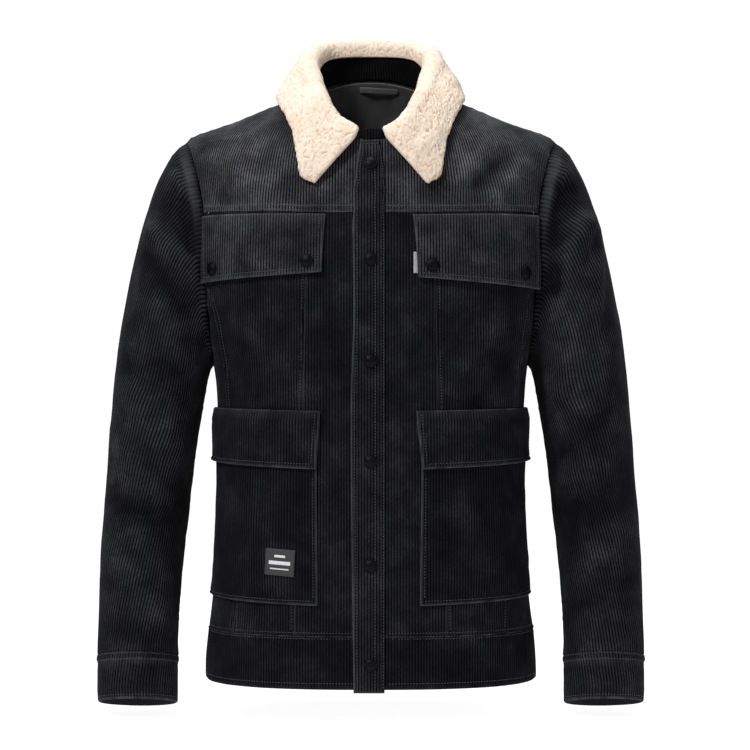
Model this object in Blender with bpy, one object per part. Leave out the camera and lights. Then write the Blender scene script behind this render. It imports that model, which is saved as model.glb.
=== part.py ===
"""Snap-front corduroy jacket with a fleece collar, in the hollow form that it has when it is worn.

Metres, +Z up. The front faces -Y, and the wearer's left is +X. The origin is in the middle of the
neck, level with the points where the shoulders leave the collar. Every cut piece is a wall of its
own: body panels and sleeves are walls through sections of one body surface and one sleeve surface,
and what lies on a panel is made from the same surface, moved out. Tables are in millimetres.
"""

import bisect
import math

import bmesh
import bpy
from mathutils import Vector

MM = 0.001
GAP = 0.3            # between two pieces at a seam, and under a piece that lies on another
CLOTH = 3.0          # corduroy with its backing
FLAP = 3.0           # two layers of corduroy, pressed
LINING = 1.2
STRIP = 2.6          # the placket strip on the front edge
PILE = 9.0           # fleece of the collar, to the tips of its curls
QUARTER = math.pi / 2
NECK_Y = 10          # the middle of the neck lies this far in front of the origin

# Sections of the body, one a row, from the hem to the neck seam. The level is the height at the
# centre front. A section is a superellipse with its own height at the sides and at the back.
SECTIONS = [
    # level, side_z, back_z, half_width, front, back, squareness
    (-650.0, -650, -650, 186.0, 134, 121, 2.50),
    (-625.0, -625, -625, 185.2, 134, 120, 2.50),
    (-592.0, -592, -592, 182.0, 133, 118, 2.50),
    (-560.0, -560, -560, 178.0, 132, 116, 2.50),
    (-490.0, -490, -490, 172.6, 129, 111, 2.50),
    (-430.0, -430, -430, 170.2, 127, 108, 2.50),
    (-362.0, -362, -362, 171.6, 127, 110, 2.50),
    (-325.0, -325, -325, 173.4, 128, 114, 2.50),
    (-300.0, -300, -300, 176.5, 129, 117, 2.50),
    (-249.0, -249, -249, 190.0, 131, 121, 2.48),
    (-214.0, -214, -214, 197.0, 131, 123, 2.46),
    (-175.0, -175, -175, 201.0, 129, 123, 2.44),
    (-135.0, -135, -135, 202.5, 125, 121, 2.35),
    (-105.0, -45, -76, 212.0, 119, 112, 1.90),
    (-90.0, -34, -44, 174.0, 114, 103, 1.90),
    (-72.0, -15, -6, 128.0, 108, 86, 2.00),
    (-55.0, 2, 29, 85.0, 101, 68, 2.10),
]
HEM, BAND_TOP, YOKE_SEAM, SHOULDER_TIP, NECK_EDGE = -650.0, -592.0, -135.0, -105.0, -55.0
BAND_LEVELS = [HEM, -625.0, BAND_TOP]
FRONT_LEVELS = [BAND_TOP, -560.0, -525.0, -490.0, -450.0, -410.0, -378.0, -350.0, -325.0]
SHOULDER_LEVELS = [-97.0, -87.0, -76.0, -65.0, NECK_EDGE]
BEND, SIDE_BEND, BEND_BOTTOM, BEND_FADE = 22.0, 10.0, -165.0, 30.0   # rounding above the chest
BEND_WEIGHTS = [(-1.0, 1 / 9), (-0.5, 2 / 9), (0.0, 3 / 9), (0.5, 2 / 9), (1.0, 1 / 9)]

# The armhole, from the underarm to the shoulder tip: how far its edge stands in front of and behind
# the middle of the side, at each level. It is a row of the body's panels and a point of the sleeve.
ARMHOLE = [
    # level, front_y, back_y
    (-300.0, 0, 0),
    (-294.0, 24, 22),
    (-276.0, 43, 40),
    (-249.0, 57, 53),
    (-214.0, 64, 60),
    (-175.0, 66, 62),
    (YOKE_SEAM, 62, 58),
    (-122.0, 52, 48),
    (-112.7, 38, 35),
    (-106.9, 20, 18),
    (SHOULDER_TIP, 0, 0),
]
YOKE_PLACE = 6
SIDE_SEAM_PLACE = 4   # the side panel's seam meets the armhole at this row

# Upright lines on the front, as distances from the centre: the pockets' and flaps' inner edges on
# the wearer's right and left, the seam that divides the front, and the seam of the side panel.
FRONT_LINES = [
    # level, right_edge, left_edge, front_seam, side_seam
    (-650.0, 57, 53, 84.0, 151.0),
    (-560.0, 57, 53, 83.0, 151.5),
    (-410.0, 58, 54.5, 77.0, 155.0),
    (-350.0, 54, 49.0, 74.5, 159.0),
    (-300.0, 53, 51.0, 73.0, 164.5),
    (-205.0, 52.5, 50.5, 71.0, 180.0),
    (-135.0, 49, 46.0, 69.0, 186.0),
]
FRONT_EDGE = 10.0     # the fronts meet here, under the placket strip
CENTRE_LINES = {-1: [FRONT_EDGE, -8.0, -19.0, -36.0], 1: [FRONT_EDGE, 30.0]}
STRIP_DROP = 3.0      # the strip's corner hangs this far below the hem
STRIP_LINES = [
    # level, free_edge, sewn_edge
    (-650.0, -18.5, 15.0),
    (-350.0, -21.5, 15.5),
    (-240.0, -18.5, 15.5),
    (-138.0, -19.5, 15.5),
    (-94.0, -16.0, 14.5),
    (-55.0, -11.0, 10.0),
]

# Sections of the sleeve, one a row, from the armhole to the cuff's edge: outer and inner points as
# seen from the front, the middle's distance behind the shoulder, depth in front and behind, and
# how much higher the front is than the middle, since the forearm swings forward.
SLEEVE = [
    # outer_x, outer_z, inner_x, inner_z, middle_y, front, back, pitch
    (207.5, -50, 176.5, -300, 0, 66, 62, 0),
    (221.0, -60, 178.5, -302, 0, 69, 66, 0),
    (234.5, -81, 180.5, -305, 0, 72, 69, 0),
    (245.5, -106, 182.0, -309, 0, 74, 72, 0),
    (255.0, -136, 183.5, -314, 0, 76, 75, 0),
    (264.0, -170, 185.0, -320, 1, 77, 76, 0),
    (272.5, -208, 186.5, -328, 3, 77, 76, 1),
    (280.5, -250, 188.5, -338, 5, 76, 75, 2),
    (287.2, -292, 190.8, -351, 8, 74, 73, 3),
    (291.8, -333, 194.6, -372, 10, 72, 71, 4),
    (295.2, -374, 198.8, -398, 11, 70, 69, 5),
    (298.3, -414, 202.2, -429, 9, 67, 66, 6),
    (301.0, -452, 205.2, -461, 5, 64, 63, 7),
    (303.2, -490, 208.8, -495, 0, 61, 59, 8),
    (304.6, -528, 212.4, -530, -8, 57, 55, 9),
    (305.2, -564, 214.6, -565, -16, 53, 51, 9.5),
    (305.3, -595, 215.5, -595, -24, 49, 47.5, 10),
    (305.2, -624, 215.4, -624, -31, 46, 44.5, 10),
    (304.8, -650, 214.8, -650, -38, 44.5, 43, 10),
    (303.6, -674.5, 214.4, -674.5, -45, 43.5, 42, 10),
]
CUFF_SEAM_PLACE = 17
SETTLE_PLACES = 6     # the armhole's own outline has faded out by this row
UNDER_SLEEVE = (10, 15)  # points of the ring, of twenty, that the under sleeve spans

# The largest folds, as seen from the front or the back: the two ends of the fold's middle line,
# its half width, and its height, which is less than nothing for a trough. Both columns of ends are
# on the wearer's own side: +x is the wearer's left.
FOLDS = [
    # from_x, from_z, to_x, to_z, half_width, height, faces_front
    (-246, -128, -184, -182, 15, 5.5, True),
    (-214, -70, -192, -112, 10, -4.5, True),
    (-262, -330, -212, -395, 20, 4.0, True),
    (206, -80, 226, -142, 11, -5.0, True),
    (208, -152, 244, -128, 14, 5.0, True),
    (238, -150, 214, -330, 20, 4.5, True),
    (290, -420, 226, -470, 18, -3.5, True),
    (-246, -135, -190, -195, 17, 5.0, False),
    (246, -140, 190, -190, 17, 5.0, False),
    (-286, -385, -220, -430, 18, -4.5, False),
    (286, -390, 220, -425, 18, -4.5, False),
]

# Half of the collar, from its front end to the centre back: where its outer edge lies on the body,
# the middle of its roll, the roll's radius, how far the pile reaches down inside, and the angle at
# which the roll starts, since at the front there is no inner side.
COLLAR = [
    # edge_angle, edge_level, roll_x, roll_y, roll_z, radius, inside, start
    (17.0, -104.0, 17.5, -104.5, -50.0, 7.0, 0, 85),
    (21.3, -99.5, 29.0, -99.5, -42.5, 7.2, 0, 65),
    (27.5, -89.0, 41.5, -91.5, -30.0, 7.8, 2, 30),
    (34.3, -76.0, 53.0, -77.0, -12.0, 8.4, 5, 5),
    (56.0, -65.5, 64.0, -45.0, 13.0, 9.0, 8, 0),
    (90.0, -62.0, 71.0, -8.0, 40.0, 9.0, 10, 0),
    (125.0, -62.0, 61.0, 32.0, 57.0, 9.0, 10, 0),
    (155.0, -65.0, 36.0, 57.0, 64.0, 9.0, 10, 0),
    (180.0, -67.0, 0.0, 66.0, 65.7, 9.0, 10, 0),
]
STAND_ANGLES = [7.5, 15.0, 24.0, 35.0, 57.0, 90.0, 125.0, 155.0, 180.0]
STAND_FRONT_TOP = (-101.0, -42.5)      # y and z of its top edge across the centre front
STAND, STAND_GAP = 2.5, 0.8
COLLAR_STEPS = 16     # along half of the collar
ROLL_STEPS = 4
FALL_STEPS = 4
FALL_CROWN = 3.0      # the fall bows out this much between the roll and its edge
COLLAR_STAND_OFF = 0.8
EDGE_ROUNDING = 0.7
STAND_FRONT_X = [-9.8, 10.0]

# Flaps and pockets on the front. Heights are of a row's inner and outer end. The outer end is so
# many cells past the front's dividing seam, less a margin, and stand_off is the gap under the row.
CHEST_FLAPS = {
    # inner_z, outer_z, stand_off
    -1: [(-137.5, -137.0, 0.5), (-158.0, -161.0, 1.2), (-179.0, -185.5, 2.4), (-200.0, -209.5, 3.4)],
    1: [(-138.0, -136.6, 0.5), (-160.0, -161.5, 1.2), (-183.0, -189.5, 2.4), (-205.5, -216.5, 3.4)],
}
LOWER_FLAP = [
    # inner_z, outer_z, stand_off
    (-349.5, -346.5, 0.5),
    (-358.0, -356.0, 4.2),
    (-383.0, -380.0, 4.6),
    (-412.5, -406.0, 5.4),
]
LOWER_POCKET = [
    # inner_z, outer_z, stand_off of its middle
    (-361.5, -361.5, 0.5),
    (-410.0, -410.0, 1.0),
    (-450.0, -450.0, 2.2),
    (-490.0, -490.0, 2.8),
    (-525.0, -524.0, 2.2),
    (-559.5, -555.0, 0.5),
]
EDGE_STAND_OFF = 0.5
CHEST_MARGIN = 1.5
POCKET_SIDE_CELLS = 2    # the lower pockets reach over so many of the side panels' three cells

SNAP_PROFILE = [
    # radius, height
    (7.2, 0.0),
    (7.2, 1.4),
    (6.2, 2.2),
    (4.4, 2.9),
    (2.2, 3.2),
]
SNAP_SIDES = 14
SNAP_SEAT = 0.5
STRIP_SNAP_X = 0.0
STRIP_SNAP_LEVELS = [-82.4, -186.0, -295.3, -404.3, -516.3, -622.2]
FLAP_SNAPS = {
    # place, distance from the centre, z
    -1: [("inner", 69.0, -187.6), ("outer", 173.5, -194.5)],
    1: [("inner", 66.5, -192.0), ("outer", 169.5, -199.5)],
}

PATCH_X, PATCH_Z = -96.8, -513.3      # its middle, on the right pocket
PATCH_SIZE = (31.5, 28.5)
PATCH_TILT = math.radians(3.5)
PATCH_THICK = 0.9
PATCH_SHARES = (-0.5, -0.25, 0.0, 0.25, 0.5)
TAB_X, TAB_LEVELS, TAB_LAYERS = (46.2, 51.5), (-201.0, -178.0), (1.5, 0.5)

LOOP_X = (-13.6, 32.6)       # the hanger loop, inside the back neck
LOOP_LEVELS = (-60.0, -57.0)
LOOP_STAND_OFF, LOOP_BOW, LOOP_THICK, LOOP_CELLS = 1.0, 3.0, 0.8, 8
LINING_TRIM = 1              # cells of the back yoke that the lining leaves free at each end

CORDUROY = ("corduroy", (0.012, 0.013, 0.015), 0.9, 0.0)
FLEECE = ("fleece", (0.86, 0.74, 0.60), 0.95, 0.0)
SATIN = ("lining", (0.010, 0.010, 0.011), 0.45, 0.0)
METAL = ("snap", (0.012, 0.012, 0.014), 0.35, 0.6)
PATCH = ("patch", (0.14, 0.145, 0.155), 0.7, 0.0)
TAPE = ("tape", (0.75, 0.75, 0.75), 0.8, 0.0)

SIDE_NAMES = {-1: "right", 1: "left"}
UP = Vector((0, 0, 1))


# Curves through tables

def slopes(places, values):
    """Slopes of a smooth curve through a table that never overshoots its rows."""
    steps = [b - a for a, b in zip(places, places[1:])]
    rises = [(b - a) / step for a, b, step in zip(values, values[1:], steps)]
    result = [rises[0]]
    for before, after, left, right in zip(rises, rises[1:], steps, steps[1:]):
        if before * after <= 0:
            result.append(0.0)
            continue
        weight_before, weight_after = 2 * right + left, right + 2 * left
        result.append((weight_before + weight_after) / (weight_before / before + weight_after / after))
    result.append(rises[-1])
    return result


class Table:
    """Rows of numbers, read at any place between them on smooth curves. The place is a row's first
    number, or its index where by_index is set."""

    def __init__(self, rows, by_index=False):
        self.places = [float(i) for i in range(len(rows))] if by_index else [row[0] for row in rows]
        columns = list(zip(*rows)) if by_index else list(zip(*rows))[1:]
        self.columns = [(values, slopes(self.places, values)) for values in columns]

    def at(self, place):
        place = min(max(place, self.places[0]), self.places[-1])
        i = min(bisect.bisect_right(self.places, place), len(self.places) - 1) - 1
        step = self.places[i + 1] - self.places[i]
        t = (place - self.places[i]) / step
        ease = t * t * (3 - 2 * t)
        out = t * (1 - t) * (1 - t) * step
        back = t * t * (1 - t) * step
        return [
            values[i] + (values[i + 1] - values[i]) * ease + slope[i] * out - slope[i + 1] * back
            for values, slope in self.columns
        ]


SECTION_TABLE = Table(SECTIONS)
LINE_TABLE = Table(FRONT_LINES)
STRIP_TABLE = Table(STRIP_LINES)
SLEEVE_TABLE = Table(SLEEVE, by_index=True)
COLLAR_TABLE = Table(COLLAR, by_index=True)


# The body's surface

def section_point(angle, level):
    """Point of a section of the body: the angle runs from the centre front towards +X."""
    side_z, back_z, half_width, front, back, squareness = SECTION_TABLE.at(level)
    sine, cosine = math.sin(angle), math.cos(angle)
    depth, end_z = (front, level) if cosine > 0 else (back, back_z)
    power = 2 / squareness
    return Vector((
        half_width * math.copysign(abs(sine) ** power, sine),
        -depth * math.copysign(abs(cosine) ** power, cosine),
        side_z + (end_z - side_z) * cosine * cosine,
    ))


def body_point(angle, level):
    """Point on the outside of the body. The bend between chest and shoulder is rounded by a mean
    over nearby levels, over more of them at the front and the back than at the sides."""
    reach = SIDE_BEND + (BEND - SIDE_BEND) * math.cos(angle) ** 2
    reach = min(reach * min(1.0, (level - BEND_BOTTOM) / BEND_FADE), NECK_EDGE - level)
    if reach <= 0:
        return section_point(angle, level)
    rounded = Vector((0, 0, 0))
    for share, weight in BEND_WEIGHTS:
        rounded += section_point(angle, level + reach * share) * weight
    return rounded


def body_frame(angle, level):
    """Unit vectors at a body point: round the body, and out of it."""
    turn, lift = 0.02, 1.5
    level = max(level, HEM)
    low, high = max(level - lift, HEM), min(level + lift, NECK_EDGE)
    around = body_point(angle + turn, level) - body_point(angle - turn, level)
    upward = body_point(angle, high) - body_point(angle, low)
    return around.normalized(), around.cross(upward).normalized()


def body_at(angle, level, out=0.0, aside=0.0):
    """Body point moved out of the surface and along it, round the body."""
    around, outward = body_frame(angle, level)
    return body_point(angle, level) + outward * out + around * aside


def angle_at_x(x, level):
    """Angle on the front where the section at this level is x from the centre."""
    _, _, half_width, _, _, squareness = SECTION_TABLE.at(level)
    share = min(abs(x) / half_width, 1.0)
    return math.copysign(math.asin(share ** (squareness / 2)), x)


def angle_at_y(y, depth, squareness):
    """Angle from the nearer end of the section at which it is y from the middle."""
    return math.acos((y / depth) ** (squareness / 2))


class Row:
    """A level with the angles at which the front and the back end there: at the side, or at the
    armhole. The place is the armhole's row, or None away from it."""

    def __init__(self, level, place=None):
        self.level = level
        self.place = place
        self.front_end = self.back_end = QUARTER
        if place is not None:
            _, front_y, back_y = ARMHOLE[place]
            _, _, _, front, back, squareness = SECTION_TABLE.at(level)
            self.front_end = angle_at_y(front_y, front, squareness)
            self.back_end = math.pi - angle_at_y(back_y, back, squareness)


LOWER_ROWS = [Row(level) for level in FRONT_LEVELS]
ARMHOLE_ROWS = [Row(level, place) for place, (level, _, _) in enumerate(ARMHOLE)]
UPPER_ROWS = [Row(level) for level in SHOULDER_LEVELS]
BAND_ROWS = [Row(level) for level in BAND_LEVELS]


# The sleeve's surface, on the wearer's left; the right sleeve is its mirror image

RING = 2 * (len(ARMHOLE) - 1)


def armhole_row(point):
    """Table row of the armhole at a point of the ring, and whether it is on the back. Point 0 is
    the shoulder tip, and the points run over the front to the underarm."""
    point %= RING
    place = abs(point - RING // 2)
    return place, point > RING // 2


def armhole_angle(point):
    place, on_back = armhole_row(point)
    row = ARMHOLE_ROWS[place]
    return (row.back_end if on_back else row.front_end), row.level


def oval(section, turn):
    """Point of a sleeve section, turned from its outer point over the front."""
    outer_x, outer_z, inner_x, inner_z, middle_y, front, back, pitch = section
    cosine, sine = math.cos(turn), math.sin(turn)
    return Vector((
        (outer_x + inner_x) / 2 + (outer_x - inner_x) / 2 * cosine,
        middle_y - (front if sine > 0 else back) * sine,
        (outer_z + inner_z) / 2 + (outer_z - inner_z) / 2 * cosine + pitch * sine,
    ))


def sleeve_point(point, place):
    """Point on the outside of the sleeve, before its folds."""
    turn = math.tau * point / RING
    here = oval(SLEEVE_TABLE.at(place), turn)
    left_over = max(0.0, 1 - place / SETTLE_PLACES) ** 2
    return here + (body_point(*armhole_angle(point)) - oval(SLEEVE[0], turn)) * left_over


def sleeve_normal(point, place):
    before, after = max(place - 0.25, 0.0), min(place + 0.25, len(SLEEVE) - 1.0)
    around = sleeve_point(point + 1, place) - sleeve_point(point - 1, place)
    along = sleeve_point(point, after) - sleeve_point(point, before)
    return around.cross(along).normalized()


def fold_height(point, normal):
    """How far the largest folds lift or sink a point of the sleeve."""
    height = 0.0
    for from_x, from_z, to_x, to_z, half_width, lift, faces_front in FOLDS:
        facing = -normal.y if faces_front else normal.y
        if facing <= 0:
            continue
        run_x, run_z = to_x - from_x, to_z - from_z
        length = math.hypot(run_x, run_z)
        off_x, off_z = point.x - from_x, point.z - from_z
        along = (off_x * run_x + off_z * run_z) / length
        across = (off_x * run_z - off_z * run_x) / length
        beyond = max(0.0, -along, along - length)
        off = (across * across + beyond * beyond) / half_width ** 2
        height += lift * math.exp(-off) * min(1.0, 2 * facing)
    return height


def sleeve_at(side, point, place, out=0.0, aside=0.0, along=0.0):
    """Point of a sleeve with its folds, moved out of the surface, round it and down it."""
    here = sleeve_point(point, place)
    normal = sleeve_normal(point, place)
    round_way = (sleeve_point(point + 1, place) - sleeve_point(point - 1, place)).normalized()
    down_way = round_way.cross(normal)
    if down_way.z > 0:
        down_way.negate()
    mirrored = Vector((here.x * side, here.y, here.z))
    calm = min(1.0, place / 3) * min(1.0, max(0.0, CUFF_SEAM_PLACE - place) / 2)
    here = here + normal * (out + fold_height(mirrored, normal) * calm)
    here = here + round_way * aside + down_way * along
    return Vector((here.x * side, here.y, here.z))


def armhole_seam(point):
    """Where body and sleeve meet on the wearer's left: the point, the way in through both walls,
    and the way across the seam, towards the sleeve."""
    angle, level = armhole_angle(point)
    _, body_out = body_frame(angle, level)
    sleeve_out = sleeve_normal(point, 0.0)
    mitre = (body_out + sleeve_out).normalized()
    along = (body_point(*armhole_angle(point + 1)) - body_point(*armhole_angle(point - 1))).normalized()
    across = along.cross(mitre).normalized()
    if across.dot(sleeve_point(point, 1.0) - sleeve_point(point, 0.0)) < 0:
        across.negate()
    return body_point(angle, level), mitre, across


def seam_point(point, side, out, towards_sleeve, aside=0.0):
    """Point of the armhole seam on one side of its gap, moved out along the mitre, and aside
    along the seam, towards the next point of the ring."""
    here, mitre, across = armhole_seam(point)
    along = (body_point(*armhole_angle(point + 1)) - body_point(*armhole_angle(point - 1))).normalized()
    here = here + mitre * out + across * (GAP / 2 if towards_sleeve else -GAP / 2) + along * aside
    return Vector((here.x * side, here.y, here.z))


# Solids

def material(finish):
    name, colour, roughness, metallic = finish
    found = bpy.data.materials.get(name)
    if found:
        return found
    made = bpy.data.materials.new(name)
    made.use_nodes = True
    shader = made.node_tree.nodes["Principled BSDF"]
    shader.inputs["Base Color"].default_value = (*colour, 1)
    shader.inputs["Roughness"].default_value = roughness
    shader.inputs["Metallic"].default_value = metallic
    made.diffuse_color = (*colour, 1)
    return made


def solid(name, points, faces, finish):
    """One closed object from points in millimetres, all its faces turned outwards."""
    mesh = bpy.data.meshes.new(name)
    mesh.from_pydata([point * MM for point in points], [], faces)
    shaped = bmesh.new()
    shaped.from_mesh(mesh)
    bmesh.ops.recalc_face_normals(shaped, faces=shaped.faces)
    shaped.to_mesh(mesh)
    shaped.free()
    mesh.shade_smooth()
    mesh.set_sharp_from_angle(angle=math.radians(35))
    mesh.materials.append(material(finish))
    made = bpy.data.objects.new(name, mesh)
    bpy.context.collection.objects.link(made)
    return made


def wall(name, outer, inner, finish, ring=False):
    """Closed wall between two grids of points. The columns join up where ring is set."""
    rows, columns = len(outer), len(outer[0])
    points = [point for grid in (outer, inner) for line in grid for point in line]
    faces = []

    def corner(layer, row, column):
        return (layer * rows + row) * columns + column % columns

    def split(a, b, c, d):
        faces.extend([(a, b, c), (a, c, d)])

    cells = columns if ring else columns - 1
    for row in range(rows - 1):
        for column in range(cells):
            after = (column + 1) % columns
            one_way = (outer[row][column] - outer[row + 1][after]).length
            other_way = (outer[row][after] - outer[row + 1][column]).length
            for layer in (0, 1):
                around = [
                    corner(layer, row, column), corner(layer, row, after),
                    corner(layer, row + 1, after), corner(layer, row + 1, column),
                ]
                turned = 0 if one_way <= other_way else 1
                split(*around[turned:], *around[:turned])
        if not ring:
            for column in (0, columns - 1):
                split(
                    corner(0, row, column), corner(0, row + 1, column),
                    corner(1, row + 1, column), corner(1, row, column),
                )
    for column in range(cells):
        for row in (0, rows - 1):
            split(
                corner(0, row, column), corner(0, row, column + 1),
                corner(1, row, column + 1), corner(1, row, column),
            )
    return solid(name, points, faces, finish)


# Cut pieces of the body

def panel(name, rows, angles, layers, finish=CORDUROY, seams=(True, True)):
    """Wall of the body through rows. angles gives a row's angles, from -X to +X, layers the outer
    and inner distance from the surface, and seams which ends of the rows lie at a seam. An angle
    that is a tuple names a point of the armhole, the wearer's side and the way aside instead."""
    grids = []
    for out in layers:
        grid = []
        for index, row in enumerate(rows):
            level = row.level
            if index == 0:
                level += GAP / 2
            if index == len(rows) - 1:
                level -= GAP / 2
            line = []
            steps = angles(row)
            for column, angle in enumerate(steps):
                if isinstance(angle, tuple):
                    point, side, aside = angle
                    rise = level - row.level
                    aside += rise if point > RING // 2 else -rise
                    line.append(seam_point(point, side, out, False, aside))
                    continue
                aside = 0.0
                if column == 0 and seams[0]:
                    aside = GAP / 2
                if column == len(steps) - 1 and seams[1]:
                    aside = -GAP / 2
                line.append(body_at(angle, level, out, aside))
            grid.append(line)
        grids.append(grid)
    return wall(name, grids[0], grids[1], finish)


def spread(first, last, cells):
    return [first + (last - first) * step / cells for step in range(cells + 1)]


def front_line(column, level, side):
    """Angle of an upright line of the front, by its column in FRONT_LINES after the level."""
    return side * angle_at_x(LINE_TABLE.at(level)[column], level)


RIGHT_EDGE, LEFT_EDGE, FRONT_SEAM, SIDE_SEAM = range(4)
POCKET_LINE = {-1: RIGHT_EDGE, 1: LEFT_EDGE}
MIDDLE_CELLS = 4
SIDE_CELLS = 3
YOKE_CELLS = 8
BACK_CELLS = 14
BODY_WALL = (0.0, -CLOTH)


def outward(side, angles):
    """Angles listed from the centre outwards, put in order from -X to +X."""
    return angles if side > 0 else angles[::-1]


def armhole_end(row, side, on_back=False):
    """The edge of a panel at the armhole: a point of the ring, and at the underarm and the shoulder
    tip a little to this panel's side of it. Away from the armhole it is the side of the body."""
    if row.place is None:
        return side * row.front_end
    aside = {0: -GAP / 2, len(ARMHOLE) - 1: GAP / 2}.get(row.place, 0.0)
    if on_back:
        return (RING // 2 + row.place, side, -aside)
    return (RING // 2 - row.place, side, aside)


def middle_angles(row, side):
    """Angles of the middle front, from the dividing seam to the side panel or the armhole."""
    first = front_line(FRONT_SEAM, row.level, side)
    at_armhole = row.place is not None and row.place > SIDE_SEAM_PLACE
    last = side * row.front_end if at_armhole else front_line(SIDE_SEAM, row.level, side)
    steps = spread(first, last, MIDDLE_CELLS)
    if at_armhole:
        steps[-1] = armhole_end(row, side)
    return outward(side, steps)


def centre_angles(row, side):
    """Angles of the centre front, from the front edge to the dividing seam."""
    steps = [angle_at_x(x, row.level) for x in CENTRE_LINES[side]]
    steps.append(front_line(POCKET_LINE[side], row.level, side))
    steps.append(front_line(FRONT_SEAM, row.level, side))
    return outward(side, steps)


def side_angles(row, side):
    steps = spread(front_line(SIDE_SEAM, row.level, side), side * row.front_end, SIDE_CELLS)
    steps[-1] = armhole_end(row, side)
    return outward(side, steps)


def back_angles(row):
    """Angles of the back, from the wearer's left side round to the right."""
    steps = spread(row.back_end, math.tau - row.back_end, BACK_CELLS)
    if row.place is not None:
        steps[0] = armhole_end(row, 1, on_back=True)
        steps[-1] = armhole_end(row, -1, on_back=True)
    return steps


def yoke_angles(row, side):
    steps = spread(angle_at_x(FRONT_EDGE, row.level), side * row.front_end, YOKE_CELLS)
    if row.place is not None:
        steps[-1] = armhole_end(row, side)
    return outward(side, steps)


def band_angles(row, side):
    """Angles of the whole front, from its edge to the side of the body."""
    angles = [angle_at_x(x, row.level) for x in CENTRE_LINES[side]]
    angles.append(front_line(POCKET_LINE[side], row.level, side))
    seam, side_line = (front_line(line, row.level, side) for line in (FRONT_SEAM, SIDE_SEAM))
    angles += spread(seam, side_line, MIDDLE_CELLS)[:-1]
    angles += spread(side_line, side * QUARTER, SIDE_CELLS)
    return outward(side, angles)


def build_body():
    chest_rows = LOWER_ROWS + ARMHOLE_ROWS[:YOKE_PLACE + 1]
    side_rows = LOWER_ROWS + ARMHOLE_ROWS[:SIDE_SEAM_PLACE + 1]
    yoke_rows = ARMHOLE_ROWS[YOKE_PLACE:] + UPPER_ROWS
    for side, name in SIDE_NAMES.items():
        panel(f"front_centre_{name}", chest_rows, lambda row: centre_angles(row, side), BODY_WALL)
        panel(f"front_middle_{name}", chest_rows, lambda row: middle_angles(row, side), BODY_WALL)
        panel(f"front_side_{name}", side_rows, lambda row: side_angles(row, side), BODY_WALL)
        panel(f"front_yoke_{name}", yoke_rows, lambda row: yoke_angles(row, side), BODY_WALL)
        panel(f"hem_band_{name}", BAND_ROWS, lambda row: band_angles(row, side), BODY_WALL)
    panel("back_panel", chest_rows, back_angles, BODY_WALL)
    panel("back_yoke", yoke_rows, back_angles, BODY_WALL)
    panel("hem_band_back", BAND_ROWS, back_angles, BODY_WALL)


def build_strip():
    """The strip that carries the snaps, sewn to the left front and lying over the right one."""
    levels = [HEM - STRIP_DROP] + FRONT_LEVELS + [level for level, _, _ in ARMHOLE if level <= YOKE_SEAM]
    levels += [-120.0, SHOULDER_TIP, -90.0, -72.0, NECK_EDGE - GAP]

    def angles(row):
        free_edge, sewn_edge = STRIP_TABLE.at(row.level)
        middle = min(8.0, sewn_edge - 1.0)
        return [angle_at_x(x, row.level) for x in (free_edge, -middle, middle, sewn_edge)]

    rows = [Row(level) for level in sorted(set(levels))]
    panel("placket_strip", rows, angles, (EDGE_STAND_OFF + STRIP, EDGE_STAND_OFF), seams=(False, False))


# Pieces that lie on the front

FRONT_END_TABLE = Table([(row.level, row.front_end) for row in ARMHOLE_ROWS])


def front_end(level):
    """Angle at which the front ends at any level: at the armhole, or at the side."""
    return FRONT_END_TABLE.at(level)[0] if level > ARMHOLE[0][0] else QUARTER


def on_front(name, side, rows, angles, thickness, margin=0.0, puffed=False):
    """Piece on the front. angles gives the angles of a level from the centre outwards, and rows
    the heights of the inner and outer end and the stand-off. A puffed piece stands off in its
    middle only. Returns the grid of its outer points."""
    outer, inner = [], []
    for inner_z, outer_z, stand_off in rows:
        cells = len(angles(inner_z)) - 1
        line = []
        for column in range(cells + 1):
            level = inner_z + (outer_z - inner_z) * column / cells
            at_edge = column in (0, cells)
            gap = EDGE_STAND_OFF if puffed and at_edge else stand_off
            aside = -side * margin if column == cells else 0.0
            line.append((angles(level)[column], level, gap, aside))
        outer.append([body_at(angle, level, gap + thickness, aside) for angle, level, gap, aside in line])
        inner.append([body_at(angle, level, gap, aside) for angle, level, gap, aside in line])
    wall(name, outer, inner, CORDUROY)
    return outer


def flap_angles(level, side):
    """Angles of a chest flap's columns, out to the armhole."""
    first = [front_line(line, level, side) for line in (POCKET_LINE[side], FRONT_SEAM)]
    return first[:-1] + spread(first[-1], side * front_end(level), MIDDLE_CELLS)


def pocket_angles(level, side):
    """Angles of a lower pocket's columns, round to near the side of the body."""
    first, seam, side_line = (
        front_line(line, level, side) for line in (POCKET_LINE[side], FRONT_SEAM, SIDE_SEAM)
    )
    side_steps = spread(side_line, side * QUARTER, SIDE_CELLS)[:POCKET_SIDE_CELLS + 1]
    return [first] + spread(seam, side_line, MIDDLE_CELLS)[:-1] + side_steps


def grid_point(grid, share, cell):
    """Point on the faces of a grid: a share of the way down it, and so many cells along."""
    row, column = share * (len(grid) - 1), cell
    low_row, low_column = min(int(row), len(grid) - 2), min(int(column), len(grid[0]) - 2)
    down, along = row - low_row, column - low_column
    upper, lower = grid[low_row], grid[low_row + 1]
    first = upper[low_column].lerp(upper[low_column + 1], along)
    second = lower[low_column].lerp(lower[low_column + 1], along)
    return first.lerp(second, down)


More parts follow.
